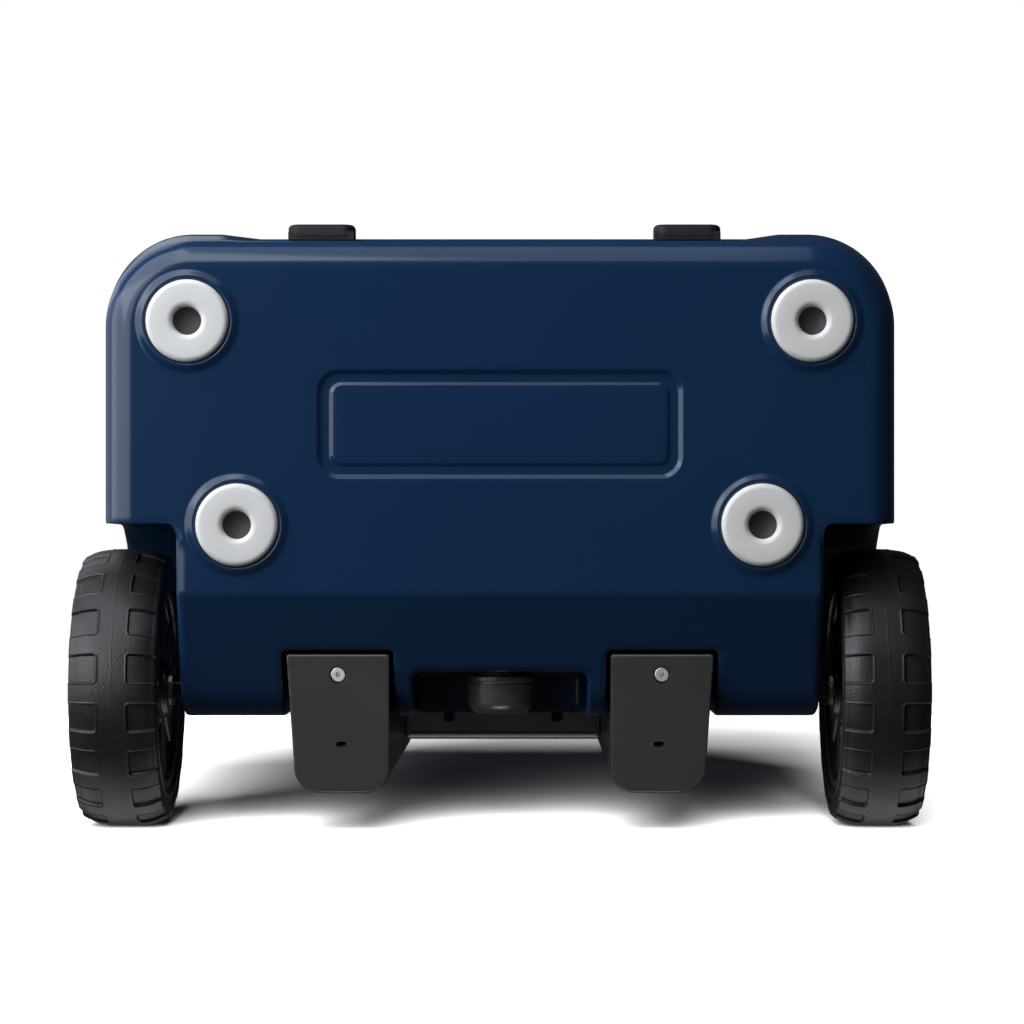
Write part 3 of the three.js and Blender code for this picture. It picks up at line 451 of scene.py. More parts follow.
# ---- cooler body ----
WELL_HALF, WELL_FRONT, WELL_TOP, WELL_ARCH = 194.5, 170.0, 205.0, 90.0
CREASE = 213.0  # depth where the base starts to rise towards the back
REAR_SLOPE = math.radians(22)
HINGE_X = 150.0
PORT_HEIGHT = 160.0
FOOT_PLACES = [middle(f"foot_{pair}_right")[:2] for pair in ("front", "rear")]
PANEL_HALF_X, PANEL_HALF_D, PANEL_DEPTH, PANEL_CORNER = 109.5, 32.5, 110.5, 13.0
FRONT_BACK = 0.3  # how far back the straight front edge lies at the base


def arc(centre_r, centre_z, radius, start, end, steps=8):
    """Points on an arc from one angle in degrees to another."""
    angles = np.radians(np.linspace(start, end, steps + 1))
    return [(centre_r + radius * math.cos(a), centre_z + radius * math.sin(a)) for a in angles]


def rounded_loop(half_u, half_v, r, steps=14):
    """Rounded rectangle as u, v, started so that the second half mirrors the first."""
    r = max(r, 0.4)
    upper = arc(half_u - r, half_v - r, r, 0, 90, steps)
    upper += arc(r - half_u, half_v - r, r, 90, 180, steps)
    return np.concatenate([upper, np.array(upper[::-1]) * [1, -1]])


# out from the panel's edge, and depth: a sloped border round a blank raised field
PANEL_STEPS = (
    (3.6, -0.02), (1.0, -0.01), (0.4, 0.04), (0.0, 0.2), (-0.4, 0.5),
    (-1.8, 1.5), (-2.2, 1.72), (-2.8, 1.8), (-6.6, 1.8), (-7.2, 1.76),
    (-7.6, 1.6), (-8.7, 0.95), (-9.1, 0.78), (-9.7, 0.7), (-16.0, 0.7),
)


def panel_insert():
    """Blank label panel in the middle of the base."""
    loops = []
    for out, deep in PANEL_STEPS:
        corner = PANEL_CORNER + out * 0.8
        flat = rounded_loop(PANEL_HALF_X + out, PANEL_HALF_D + out, corner)
        height = np.full(len(flat), BASE + deep)
        loops.append(np.stack([flat[:, 0], flat[:, 1] + PANEL_DEPTH, height], 1))
    points, faces = ringed(loops)
    length = len(loops[-1])
    k = np.arange(length // 2 - 1)
    middle_faces = np.stack([k, k + 1, length - 2 - k, length - 1 - k], 1)
    return points, np.concatenate([faces, len(points) - length + middle_faces])


# radius and height of the bead round a foot: a round crown, then a cone down to the flat
COLLAR_STEPS = (
    (25.3, 0.6), (25.45, 1.1), (25.8, 1.5), (26.3, 1.75), (26.9, 1.8), (27.5, 1.68),
    (28.2, 1.38), (29.2, 0.86), (30.2, 0.36), (30.9, 0.1), (31.6, 0.02),
)


def foot_collar(place):
    """Raised bead round a foot's seat."""
    profile = [(27.4, BASE + 3), (25.3, BASE + 3)]
    profile += [(radius, BASE - rise) for radius, rise in COLLAR_STEPS]
    profile += [(31.9, BASE + 0.5)]
    points, faces = turned(profile, 128)
    return points + np.array([place[0], place[1], 0]), faces


def body_outside(x, d, z):
    """Tapered tub, fuller at its front corners, with a base that rises at the back."""
    rise = z - BASE
    ax = abs(x)
    boss = 3.9 * ramp(ax, 150, 171) * ramp(rise, 10, 34)
    sides = (ax - BASE_HALF - rise * SIDE_SLOPE) / math.hypot(1, SIDE_SLOPE)
    front = (FRONT_BACK - d - rise * FRONT_SLOPE - boss) / math.hypot(1, FRONT_SLOPE)
    plan = both(both(sides, front, 52), d - BASE_DEPTH, 22)
    floor = BASE - z
    slope = (d - CREASE) * math.sin(REAR_SLOPE) - rise * math.cos(REAR_SLOPE)
    bottom = np.maximum(floor, slope)
    return both(plan, bottom, 16.5)


def well(x, d, z):
    """Arched recess for a wheel."""
    arch = both(WELL_FRONT - d, z - WELL_TOP, WELL_ARCH)
    return both(WELL_HALF - abs(x), arch, 7)


def rail_channel(x, d, z):
    """Groove in the back that a handle rail stands in, open to the rear and below."""
    gap = 2.4
    u = abs(x) - 98.3
    across = flat_box(u, d - (RAIL_FRONT - gap + 60), 31.3 + gap, 60, 3.0)
    return both(across, z - RAIL_TOP - gap, 3)


def cavity(x, d, z):
    """The room inside, wider at the top."""
    t = (z - 50) / 375
    sides = abs(x) - 164 - 48 * t
    ends = np.maximum(36 - 40 * t - d, d - 232 - 6 * t)
    return both(both(sides, ends, 32), 50 - z, 16)


def cooler_body(x, d, z):
    ax = abs(x)
    f = both(body_outside(x, d, z), z - RIM, 3.5)
    knuckle = np.hypot(d - HINGE_DEPTH, np.maximum(z - HINGE_HEIGHT, 0)) - 12
    ears = both(slab(ax, HINGE_X - 20, HINGE_X + 20), knuckle, 2)
    ears = np.maximum(ears, 400 - z)
    f = either(f, ears, 2.5)
    f = without(f, well(x, d, z), 1.9 + 2.7 * ramp(d, 174, 188))
    f = without(f, rail_channel(x, d, z), 1.8)
    drain = both(flat_box(x, d - 330, 53, 70, 5.5), z - 86, 7)
    f = without(f, drain, 3.4)
    grip = block(ax, d, z, (230, 58, 366), (320, 182, 404), 11)
    f = without(f, grip, 5)
    keeper = block(ax, d, z, (LATCH_X - 18.5, -90, 391), (LATCH_X + 18.5, -30, 460), 2)
    f = without(f, keeper, 1)
    for place_x, place_d in FOOT_PLACES:
        seat = np.maximum(np.hypot(ax - place_x, d - place_d) - 27.9, z - BASE - 3)
        f = np.maximum(f, -seat)
    under_panel = flat_box(x, d - PANEL_DEPTH, PANEL_HALF_X + 1.6, PANEL_HALF_D + 1.6, 14)
    f = np.maximum(f, -np.maximum(under_panel, z - BASE - 4))
    drain_bore = np.hypot(ax, z - DRAIN_HEIGHT) - 8 + np.maximum(180 - d, 0)
    f = without(f, drain_bore, 1)
    port = np.hypot(ax, z - PORT_HEIGHT) - 11 + np.maximum(BASE_DEPTH - 3.6 - d, 0)
    f = without(f, port, 0.8)
    f = without(f, cavity(x, d, z), 4)
    off_axle = np.hypot(AXLE_DEPTH - d, AXLE_HEIGHT - z)
    return np.maximum(f, 5.3 - off_axle + np.minimum(0, ax - 150) * 9)


BODY_ZONES = ((4, 24), (82, 95), (198, 210), (362, 408), (418, 464))
BODY_STEP = 2.4
body_parts = [contour(cooler_body, (-258, -50, 4), (258, 290, 464), BODY_STEP, BODY_ZONES)]
body_parts.append(panel_insert())
for column_x, column_depth in FOOT_PLACES:
    for side_sign in (1, -1):
        body_parts.append(foot_collar((side_sign * column_x, column_depth)))
body_points, body_faces = joined(*body_parts)
body_skin = make_object("cooler_body_skin", to_frame(body_points), body_faces)
finish_piece(body_skin, "cooler_body", "navy_plastic")


# ---- lid ----
LID_LOW, LID_HIGH = heights("lid_shell")
LID_HALF = span("lid_shell")[1][0]
LID_FRONT = depths("lid_shell")[0] - 2.6  # a fuller front edge than the CAD's


def lid_outside(x, d, z):
    """Rounded slab with a slightly crowned top."""
    plan = both(both(abs(x) - LID_HALF, LID_FRONT - d, 54), d - BASE_DEPTH, 24)
    crown = LID_HIGH - 1.6 * ramp(np.hypot(x / LID_HALF, (d - 120) / 165), 0.35, 1.0)
    return both(both(plan, z - crown, 16), LID_LOW - z, 4.5)


def lid_shell(x, d, z):
    ax = abs(x)
    f = lid_outside(x, d, z)
    groove = abs(lid_outside(x, d, np.minimum(z, LID_HIGH - 30))) - 1.1
    f = without(f, both(groove, abs(z - LID_LOW - 12) - 0.8, 0.3), 0.5)
    inset_top = both(flat_box(x, d - 118, LID_HALF - 44, 118, 26), LID_HIGH - 3.4 - z, 0.5)
    f = without(f, inset_top, 1.8)
    pocket = both(flat_box(x, d - 111, 228, 129, 30), z - LID_HIGH + 5.5, 4)
    f = without(f, pocket, 0.8)
    ear = both(HINGE_DEPTH - 15 - d, z - HINGE_HEIGHT - 14, 3)
    f = without(f, both(slab(ax, HINGE_X - 21, HINGE_X + 21), ear, 1.5), 1.5)
    notch = both(abs(ax - LATCH_X) - LATCH_HALF - 2.8, both(d + 29, 446 - z, 3), 2)
    f = without(f, notch, 2.5)
    hinge_bore = np.hypot(d - HINGE_DEPTH, z - HINGE_HEIGHT) - 4.3
    f = without(f, both(hinge_bore, slab(ax, 107.7, 192.3), 0.3), 0.3)
    pin_bore = np.hypot(d - PIN_DEPTH, z - PIN_HEIGHT) - 2.8
    return without(f, both(pin_bore, abs(ax - LATCH_X) - LATCH_HALF - 6.3, 0.2), 0.2)


def lid_liner(x, d, z):
    pan = both(flat_box(x, d - 111, 227.7, 128.7, 30), slab(z, 427, 430), 1)
    plug = both(flat_box(x, d - 117, 207, 116, 29), 411 - z, 7)
    plug = both(plug, z - 429, 0.5)
    f = either(pan, plug, 2)
    inner = both(flat_box(x, d - 117, 204, 113, 26), 414 - z, 5)
    f = np.maximum(f, -inner)
    far_edge = flat_box(x, d - 116.5, 223.3, 131, 44)
    near_edge = flat_box(x, d - 116.5, 214.7, 123.5, 36)
    return np.maximum(f, -np.maximum(np.maximum(far_edge, -near_edge), z - 427.3))


moulded("lid_shell", lid_shell, (-262, -50, 425), (262, 290, 482), 2.0, "navy_plastic")
moulded("lid_liner", lid_liner, (-230, -20, 409), (230, 242, 432), 2.2, "liner_plastic")


# ---- latches ----
def centred_block(u, d, z, half, low, high, r):
    """Box of half a width to each side of 0, from low to high in depth and height."""
    return block(u, d, z, (-half, *low), (half, *high), r)


def latch(x, d, z):
    """Strap that hangs on its pin, with a finger pull and a tongue behind it."""
    u = x - LATCH_X
    bar_high = LATCH_OUT + 9.2
    half = LATCH_HALF - 3.4 * ramp(z, 400, 464)
    up, half_height = z - (LATCH_LOW + LATCH_HIGH) / 2, (LATCH_HIGH - LATCH_LOW) / 2
    face = flat_box(u * LATCH_HALF / half, up, LATCH_HALF, half_height, 9)
    outer = both(face, LATCH_OUT - d, 3.2)
    strap = both(outer, d - bar_high, 1.2)
    pull = both(flat_box(u, z - LATCH_LOW - 16, 15, 5.5, 5), d - LATCH_OUT - 2.6, 1)
    strap = without(strap, pull, 1.0)
    ribs = both(flat_box(u, z - 438, 15, 15, 6), d - LATCH_OUT - 0.9, 0.5)
    strap = without(strap, ribs, 0.7)
    pin = np.hypot(d - PIN_DEPTH, z - PIN_HEIGHT)
    knuckle = both(pin - 6, abs(u) - LATCH_HALF + 3, 1)
    neck = centred_block(u, d, z, LATCH_HALF - 3, (bar_high - 2, PIN_HEIGHT - 5),
                         (PIN_DEPTH, PIN_HEIGHT + 5), 1.5)
    tongue = centred_block(u, d, z, LATCH_HALF - 8, (bar_high - 3, LATCH_LOW + 4),
                           (-32, LATCH_LOW + 20), 2)
    heel = centred_block(u, d, z, LATCH_HALF - 0.3, (bar_high - 4, LATCH_LOW + 0.3),
                         (-39.2, LATCH_LOW + 8), 1)
    f = either(either(strap, knuckle, 1.5), neck, 1.5)
    f = either(either(f, tongue, 1.5), heel, 1)
    return np.maximum(f, 2.8 - pin)


moulded_pair("latch", latch, (107, -53, 389), (160, -30, 470), 0.9, "black_rubber")


# ---- feet ----
def foot_profile():
    """Rubber ring: a soft lip round the hole and a full radius at the outer edge."""
    top = span("foot_front_right")[1][2]
    profile = [(2.9, top), (2.9, 6.6), (8.4, 6.6), (8.4, 4.9)]
    profile += arc(12.2, 3.8, 3.8, 180, 270)
    profile += arc(21.5, 3.4, 3.4, 270, 360)
    profile += [(24.9, top - 0.4), (24.5, top)]
    return profile


def cup_profile():
    """Black screw with a wide cupped head that lines the hole."""
    profile = [(0.01, 5.9), (2.5, 5.85), (4.2, 5.6), (5.8, 5.1), (7.0, 4.4), (7.8, 3.7)]
    profile += [(8.1, 3.5), (8.35, 3.8), (8.35, 6.3), (2.3, 6.5), (2.3, 13.0), (0.01, 13.4)]
    return profile


def place_turned(node, profile, slot, segments):
    points, faces = turned(profile, segments)
    points[:, :2] += middle(node)[:2]
    made = make_object(f"{node}_skin", to_frame(points), faces[:, ::-1], 50)
    finish_piece(made, node, slot)


for pair_name in ("front", "rear"):
    for side_name in ("left", "right"):
        at = f"{pair_name}_{side_name}"
        place_turned(f"foot_{at}", foot_profile(), "foot_rubber", 96)
        place_turned(f"foot_screw_{at}", cup_profile(), "black_steel", 48)


# ---- wheels ----
TREAD_PITCHES = 18
WHEEL_MIDDLE = (TYRE_IN + TYRE_OUT) / 2
TREAD_HALF = (TYRE_OUT - TYRE_IN) / 2
BEAD_RADIUS = 64.0
POCKET_DEPTH = 1.5
POCKET_LENGTH = 8.4  # half of it, round the tyre
RIB_HALF = 9.6  # half of the plain rib in the middle of the tread
# in from the tyre's side, and radius: the side wall from the tread to the rim
WALL_STEPS = (
    (0.1, 74.4), (0.9, 73.8), (1.0, 69.6), (0.4, 69.0),
    (0.4, 67.4), (1.4, 66.4), (1.8, 65.0), (2.8, BEAD_RADIUS),
)


def edge_zones(*edges):
    """A short stretch of fine steps round each edge."""
    return [(edge - 1.2, edge + 1.2) for edge in edges]


def tyre_section(coarse, fine):
    """Closed section of points as across, radius and how much of the pocket depth they take."""
    half = TREAD_HALF - 3.2
    zones = edge_zones(-half, -RIB_HALF, 0, RIB_HALF, half)
    crown = []
    for across in graded(-half, half, fine, zones, coarse):
        t = abs(across) / TREAD_HALF
        ridge = 0.1 * max(0.0, 1 - abs(across) / 0.4)
        crown.append((across, WHEEL_RADIUS - 2.2 * t ** 2 - 4.6 * t ** 5 + ridge, 1.0))
    edge = crown[-1][1]
    shoulder = []
    for a in np.radians((20, 40, 60, 80)):
        shoulder.append((half + 3.2 * math.sin(a), edge - 3.4 * (1 - math.cos(a)), 1.0))
    shoulder += [(TREAD_HALF - 0.05, edge - 5.0, 0.8), (TREAD_HALF - 0.1, edge - 7.0, 0.0)]
    right = shoulder + [(TREAD_HALF - inset, r, 0.0) for inset, r in WALL_STEPS]
    inside = [(a, BEAD_RADIUS, 0.0) for a in np.linspace(TREAD_HALF - 8, -TREAD_HALF + 8, 5)]
    left = [(-a, r, share) for a, r, share in reversed(right)]
    return np.array(crown + right + inside + left)


def pocket_relief(along, across):
    """How far the tread is let in: two rows of square pockets with a fine ridge round each."""
    s = flat_box(along, abs(across) - 25, POCKET_LENGTH, 25 - RIB_HALF, 1.3)
    pocket = POCKET_DEPTH * np.clip((0.25 - s) / 0.5, 0, 1)
    return pocket - 0.35 * np.clip(1 - abs(s - 0.75) / 0.5, 0, 1)


def tyre(side, sign):
    """Swept section with the tread's pockets pressed in, pitch by pitch."""
    coarse, fine = ((1.8, 0.3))
    section = tyre_section(coarse, fine)
    pitch = 2 * math.pi * WHEEL_RADIUS / TREAD_PITCHES
    zones = edge_zones(-POCKET_LENGTH - 0.5, POCKET_LENGTH + 0.5)
    along = graded(-pitch / 2, pitch / 2, fine, zones, coarse)[:-1]
    turns = [(along + pitch * i) / WHEEL_RADIUS for i in range(TREAD_PITCHES)]
    angle = np.concatenate(turns)[:, None]
    across, radius, share = section.T
    relief = pocket_relief(np.tile(along, TREAD_PITCHES)[:, None], across[None, :])
    r = radius[None, :] - relief * share[None, :]
    x = np.broadcast_to(WHEEL_MIDDLE + across[None, :], r.shape)
    points = np.stack([x, AXLE_DEPTH + r * np.cos(angle), AXLE_HEIGHT + r * np.sin(angle)], 2)
    points = points.reshape(-1, 3)
    points[:, 0] *= sign
    faces = torus_quads(len(angle), len(section))[:, [0, 3, 2, 1]]
    if sign > 0:
        faces = faces[:, ::-1]
    obj = make_object(f"tyre_{side}_skin", to_frame(points), faces, 40)
    finish_piece(obj, f"tyre_{side}", "tyre_rubber")


for side_name, side_sign in (("right", 1), ("left", -1)):
    tyre(side_name, side_sign)

SPOKES = 6


def wheel_hub(x, d, z):
    """Rim, boss and a web of double spokes."""
    r = np.hypot(d - AXLE_DEPTH, z - AXLE_HEIGHT)
    angle = np.arctan2(z - AXLE_HEIGHT, d - AXLE_DEPTH)
    sector = 2 * math.pi / SPOKES
    between = np.mod(angle, sector) - sector / 2
    u, v = r * np.cos(between), abs(r * np.sin(between))
    rim = both(slab(r, 58.6, 63.7), slab(x, TYRE_IN + 2, TYRE_OUT - 2), 1.2)
    boss = both(r - 17, slab(x, TYRE_IN + 1, TYRE_OUT - 10), 1.6)
    web = both(slab(r, 12, 60), slab(x, TYRE_IN + 5, WHEEL_MIDDLE + 8), 1.0)
    window = both(both(v * 0.9 - (u - 18) * 0.4, 23.5 - u, 2), r - 53.5, 2)
    f = either(web, boss, 2.5)
    f = without(f, window, 1.4)
    f = either(f, rim, 1.5)
    on_spoke = np.mod(angle + sector / 2, sector) - sector / 2
    slot = flat_box(r * np.cos(on_spoke) - 38.5, r * np.sin(on_spoke), 14, 1.9, 1.8)
    middle_x = (TYRE_IN + 5 + WHEEL_MIDDLE + 8) / 2
    f = without(f, both(slot, 4 - abs(x - middle_x), 0.4), 0.6)
    return np.maximum(f, 8.5 - r)


moulded_pair("wheel_hub", wheel_hub, (206, 205, 22), (260, 339, 155), 1.15, "black_plastic")


def hub_cap(x, d, z):
    r = np.hypot(d - AXLE_DEPTH, z - AXLE_HEIGHT)
    f = both(both(r - 17, x - TYRE_OUT + 0.6, 2.6), TYRE_OUT - 9.6 - x, 0.5)
    f = without(f, both(slab(r, 9.5, 11), TYRE_OUT - 1.4 - x, 0.3), 0.3)
    return np.maximum(f, -both(r - 13, x - TYRE_OUT + 4, 1))


moulded_pair("hub_cap", hub_cap, (248, 253, 70), (261, 291, 107), 0.7, "black_plastic")


def axle_spacer(x, d, z):
    r = np.hypot(d - AXLE_DEPTH, z - AXLE_HEIGHT)
    f = both(r - 7.2, slab(x, 194.9, 205), 1.2)
    return np.maximum(f, 5.3 - r)


moulded_pair("axle_spacer", axle_spacer, (193, 263, 80), (206, 281, 97), 0.6, "black_plastic")


# ---- handle rails ----
SCREW_DEPTH = 261.6
RAIL_BAND = 215.0  # height of the groove round each rail
TUBE_SIZE, INNER_SIZE = (26, 14), (22.3, 10.3)


def rail_outline(ax, d, inset=0.0):
    """Plan of a rail: square at the front, round at the back, its outer side at a slant."""
    slant = 6.0 / (RAIL_REAR - RAIL_FRONT)
    outer = (ax - 129.5 + inset + (d - RAIL_FRONT) * slant) / math.hypot(1, slant)
    sides = np.maximum(outer, 67.0 + inset - ax)
    plan = both(sides, d - RAIL_REAR + inset, 14)
    return both(plan, RAIL_FRONT + inset - d, 2.0)


def tube_outline(x, d, width, depth, grow=0.0):
    return flat_box(x - RAIL_X, d - TUBE_DEPTH, width / 2 + grow, depth / 2 + grow, 3.5 + grow)


def rail_housing(x, d, z):
    f = both(rail_outline(x, d), z - RAIL_TOP, 3.5)
    f = both(f, PLATE_HIGH + 0.3 - z, 0.8)
    band = both(-rail_outline(x, d, 1.0), slab(z, RAIL_BAND - 1, RAIL_BAND + 1), 0.3)
    f = without(f, band, 0.5)
    panel = both(flat_box(x - 96, z - 300, 17, 62, 8), RAIL_REAR - 1.3 - d, 0.4)
    f = without(f, panel, 0.8)
    f = without(f, np.maximum(tube_outline(x, d, *TUBE_SIZE, 2.3), RAIL_TOP - 8.3 - z), 0.6)
    f = without(f, tube_outline(x, d, *TUBE_SIZE, 0.35), 0.4)
    hollow = block(x, d, z, (71, 275, -60), (119.5, TUBE_DEPTH - 12, RAIL_TOP - 6), 3)
    f = without(f, hollow, 0.5)
    pilot = np.maximum(np.hypot(x - RAIL_X, d - SCREW_DEPTH) - 2.6, z - 46)
    return np.maximum(f, -pilot)


moulded_pair("rail_housing", rail_housing, (65, 247, 23), (132, 335, 392), 1.4,
             "black_plastic", ((20, 32), (210, 220), (234, 242), (358, 393)))


def rail_end_plate(x, d, z):
    """Plate under a rail, with a screw seat and a small slot."""
    f = both(rail_outline(x, d), PLATE_LOW - z, 1.1)
    lip = np.hypot(d - RAIL_FRONT - 1.1, z - PLATE_LOW - 0.5) - 1.0
    f = either(f, both(lip, rail_outline(x, d) + 1.2, 0.5), 0.3)
    f = both(f, z - PLATE_HIGH, 0.5)
    off_screw = np.hypot(x - RAIL_X, d - SCREW_DEPTH)
    f = without(f, np.maximum(off_screw - 5.0, z - PLATE_LOW - 2.2), 0.5)
    f = np.maximum(f, 2.8 - off_screw)
    return without(f, flat_box(x - RAIL_X + 2, d - 303.6, 3.0, 1.6, 1.5), 0.3)


moulded_pair("rail_end_plate", rail_end_plate, (65, 247, 19), (132, 335, 25), 0.75, "black_plastic")


def star(u, v, r_in, r_out):
    """Six-lobed socket outline."""
    angle = np.arctan2(v, u)
    return np.hypot(u, v) - (r_in + r_out) / 2 - (r_out - r_in) / 2 * np.cos(6 * angle)


def end_plate_screw(x, d, z):
    u, v = x - RAIL_X, d - SCREW_DEPTH
    r = np.hypot(u, v)
    head = both(both(r - 4.6, PLATE_LOW + 0.3 - z, 0.7), z - PLATE_LOW - 1.9, 0.2)
    head = without(head, both(star(u, v, 1.1, 2.0), z - PLATE_LOW - 1.5, 0.1), 0.1)
    f = np.minimum(head, np.maximum(r - 2.2, slab(z, PLATE_LOW + 1.5, PLATE_LOW + 24)))
    return np.maximum(f, -both(r - 1.3, z - PLATE_LOW - 8, 0.2))


moulded_pair("end_plate_screw", end_plate_screw, (92, 256, 19.5), (104, 268, 45.5), 0.3,
             "steel")


def tube_guide(x, d, z):
    f = both(tube_outline(x, d, *TUBE_SIZE, 2.0), z - RAIL_TOP - 1, 0.8)
    f = both(f, RAIL_TOP - 8 - z, 0.3)
    return np.maximum(f, -tube_outline(x, d, *TUBE_SIZE, 0.35))


moulded_pair("tube_guide", tube_guide, (81, 305, 381), (115, 327, 392), 0.7, "black_plastic")


def tube(width, depth, wall, low, high):
    """Field of a handle tube from one height to another."""
    def field(x, d, z):
        f = both(tube_outline(x, d, width, depth), slab(z, low, high), 0.4)
        return np.maximum(f, -tube_outline(x, d, width, depth, -wall))
    return field


for tube_name, tube_size in (("outer_tube", TUBE_SIZE), ("inner_tube", INNER_SIZE)):
    tube_low, tube_high = heights(f"{tube_name}_right")
    moulded_pair(tube_name, tube(*tube_size, 1.5, tube_low, tube_high),
                 (84, 308, tube_low - 1), (112, 324, tube_high + 1), 0.8, "aluminium",
                 ((tube_low - 2, tube_low + 2), (tube_high - 2, tube_high + 2)))


# ---- bridge, grip and button ----
BRIDGE_LOW, BRIDGE_HIGH = heights("handle_bridge")
BRIDGE_FRONT, BRIDGE_REAR = depths("handle_bridge")
BRIDGE_SCREW_X, BRIDGE_SCREW_DEPTH = 37, 300


def handle_bridge(x, d, z):
    """Bar between the rails, with a bead along its lower edge and a blank panel behind."""
    bar = both(slab(d, BRIDGE_FRONT, BRIDGE_REAR), slab(z, BRIDGE_LOW + 0.8, BRIDGE_HIGH), 2)
    f = both(bar, abs(x) - 66.7, 0.8)
    bead = np.hypot(d - BRIDGE_REAR + 3.6, z - BRIDGE_LOW - 0.9) - 0.9
    f = either(f, both(bead, abs(x) - 64.5, 0.3), 0.4)
    panel = both(flat_box(x, z - 312, 46, 26, 8), BRIDGE_REAR - 1.5 - d, 0.4)
    f = without(f, panel, 1.0)
    r = np.hypot(abs(x) - BRIDGE_SCREW_X, d - BRIDGE_SCREW_DEPTH)
    f = without(f, np.maximum(r - 4.4, z - BRIDGE_LOW - 2), 0.4)
    return np.maximum(f, -np.maximum(r - 1.9, z - BRIDGE_LOW - 16))


moulded("handle_bridge", handle_bridge, (-68, 287, 266), (68, 318, 358), 0.75,
        "black_plastic", ((266, 274),))


def bridge_screw(x, d, z):
    u, v = x - BRIDGE_SCREW_X, d - BRIDGE_SCREW_DEPTH
    r = np.hypot(u, v)
    head = both(both(r - 3.6, BRIDGE_LOW + 0.2 - z, 0.9), z - BRIDGE_LOW - 1.7, 0.1)
    head = without(head, both(star(u, v, 1.0, 1.6), z - BRIDGE_LOW - 0.9, 0.1), 0.1)
    return np.minimum(head, np.maximum(r - 1.6, slab(z, BRIDGE_LOW + 1, BRIDGE_LOW + 15)))


moulded_pair("bridge_screw", bridge_screw, (32.5, 295.5, 267), (41.5, 304.5, 284.5), 0.3,
             "black_steel")
GRIP_LOW, GRIP_HIGH = heights("handle_grip")
GRIP_DEEP = (span("handle_grip")[1][1] - span("handle_grip")[0][1]) / 2
BUTTON_DEEP = 5.5


def handle_grip(x, d, z):
    """Bar with a thinner waist, finger ribs below and a hole for the button."""
    v, w = d - TUBE_DEPTH, z - (GRIP_LOW + GRIP_HIGH) / 2
    waist = 0.8 * ramp(abs(x), 90, 60)
    section = flat_box(v, w, GRIP_DEEP - waist, 12 - waist, 8.5)
    f = both(section, abs(x) - 116, 7)
    groove = np.minimum(abs(abs(x) - 78), abs(abs(x) - 74)) - 0.7
    f = without(f, both(groove, -section - 1.2, 0.3), 0.5)
    finger = abs(np.mod(x + 6, 12) - 6) - 1.4
    under = np.maximum(np.maximum(finger, abs(x) - 66), w + 10.2)
    f = without(f, under, 1.0)
    hole = flat_box(x, v, 22.3, BUTTON_DEEP + 0.3, 4.3)
    f = without(f, np.maximum(hole, GRIP_HIGH - 11 - z), 0.7)
    socket = tube_outline(abs(x), d, *INNER_SIZE, 0.3)
    return np.maximum(f, -np.maximum(socket, z - GRIP_HIGH + 7.7))


moulded("handle_grip", handle_grip, (-118, 304, 395), (118, 328, 423), 1.0, "black_plastic")


def release_button(x, d, z):
    low, high = heights("release_button")
    f = both(flat_box(x, d - TUBE_DEPTH, 22, BUTTON_DEEP, 4), slab(z, low, high), 1.0)
    ridge = np.maximum(abs(np.mod(x + 2, 4) - 2) - 0.7, abs(x) - 13)
    return without(f, both(ridge, high - 0.7 - z, 0.2), 0.3)


moulded("release_button", release_button, (-23, 309, 414), (23, 323, 424.5), 0.5,
        "black_rubber")


# ---- drain plug ----
def drain_plug(x, d, z):
    """Round cap on a stem, with a bar across a dish for turning it."""
    r = np.hypot(x, z - DRAIN_HEIGHT)
    taper = 0.05 * np.maximum(d - 268, 0)
    head = both(both(r + taper - 20.4, d - BASE_DEPTH + 1.2, 7), 263 - d, 1.2)
    stem = both(r - 7.4, slab(d, 244, 268), 0.8)
    f = np.minimum(head, stem)
    f = without(f, both(abs(r - 20.6) - 0.7, abs(d - 267.4) - 0.7, 0.3), 0.3)
    bar = block(x, d, z, (-13.5, 270, DRAIN_HEIGHT - 3), (13.5, 300, DRAIN_HEIGHT + 3), 2)
    dish = both(r - 13.5, BASE_DEPTH - 5.5 - d, 1)
    return without(f, np.maximum(dish, 0.3 - bar), 0.8)


moulded("drain_plug", drain_plug, (-22, 243, 34), (22, 289, 78), 0.7, "black_plastic")


# ---- materials of the CAD nodes that stay ----
slot_of = {row["node"]: row["material_slot"] for row in frame["record"]["subparts"]}
for node_name, node_object in frame["nodes"].items():
    for material_index in range(max(1, len(node_object.material_slots))):
        if not node_object.material_slots:
            node_object.data.materials.append(None)
        node_object.material_slots[material_index].material = MATERIALS[slot_of[node_name]]


# ---- camera, stage and light ----
LENS = 105.5
SENSOR = 36.0
CAMERA_SHIFT = (-0.0132, 0.0322)
CAMERA_DISTANCE = 1.8  # metres from the flat of the base
AHEAD_X, AHEAD_DEPTH = 15.4, 183.0  # what lies straight ahead of the camera, mm
REAR = cad_high[1]
FLOOR_GRAY = 0.35
SKY = (0.94, 1.0, 1.07)  # the cooler tone of the lights that stand for a window


def pointing(place, target):
    """World matrix of a camera or light at place that looks at target."""
    place, target = Vector(place), Vector(target)
    turn = (target - place).to_track_quat("-Z", "Y").to_matrix().to_4x4()
    return Matrix.Translation(place) @ turn


def add_camera():
    """Camera below the base that looks straight up at it, with the front edge on top."""
    camera = bpy.data.objects.new("camera", bpy.data.cameras.new("camera"))
    bpy.context.scene.collection.objects.link(camera)
    camera.data.lens = LENS
    camera.data.sensor_width = SENSOR
    camera.data.clip_start, camera.data.clip_end = 0.05, 100
    camera.data.shift_x, camera.data.shift_y = CAMERA_SHIFT
    place = (AHEAD_X * MM, (AHEAD_DEPTH + DEPTH_ORIGIN) * MM, BASE * MM - CAMERA_DISTANCE)
    camera.matrix_world = Matrix.Translation(place) @ Matrix.Rotation(math.pi, 4, "X")
    bpy.context.scene.camera = camera


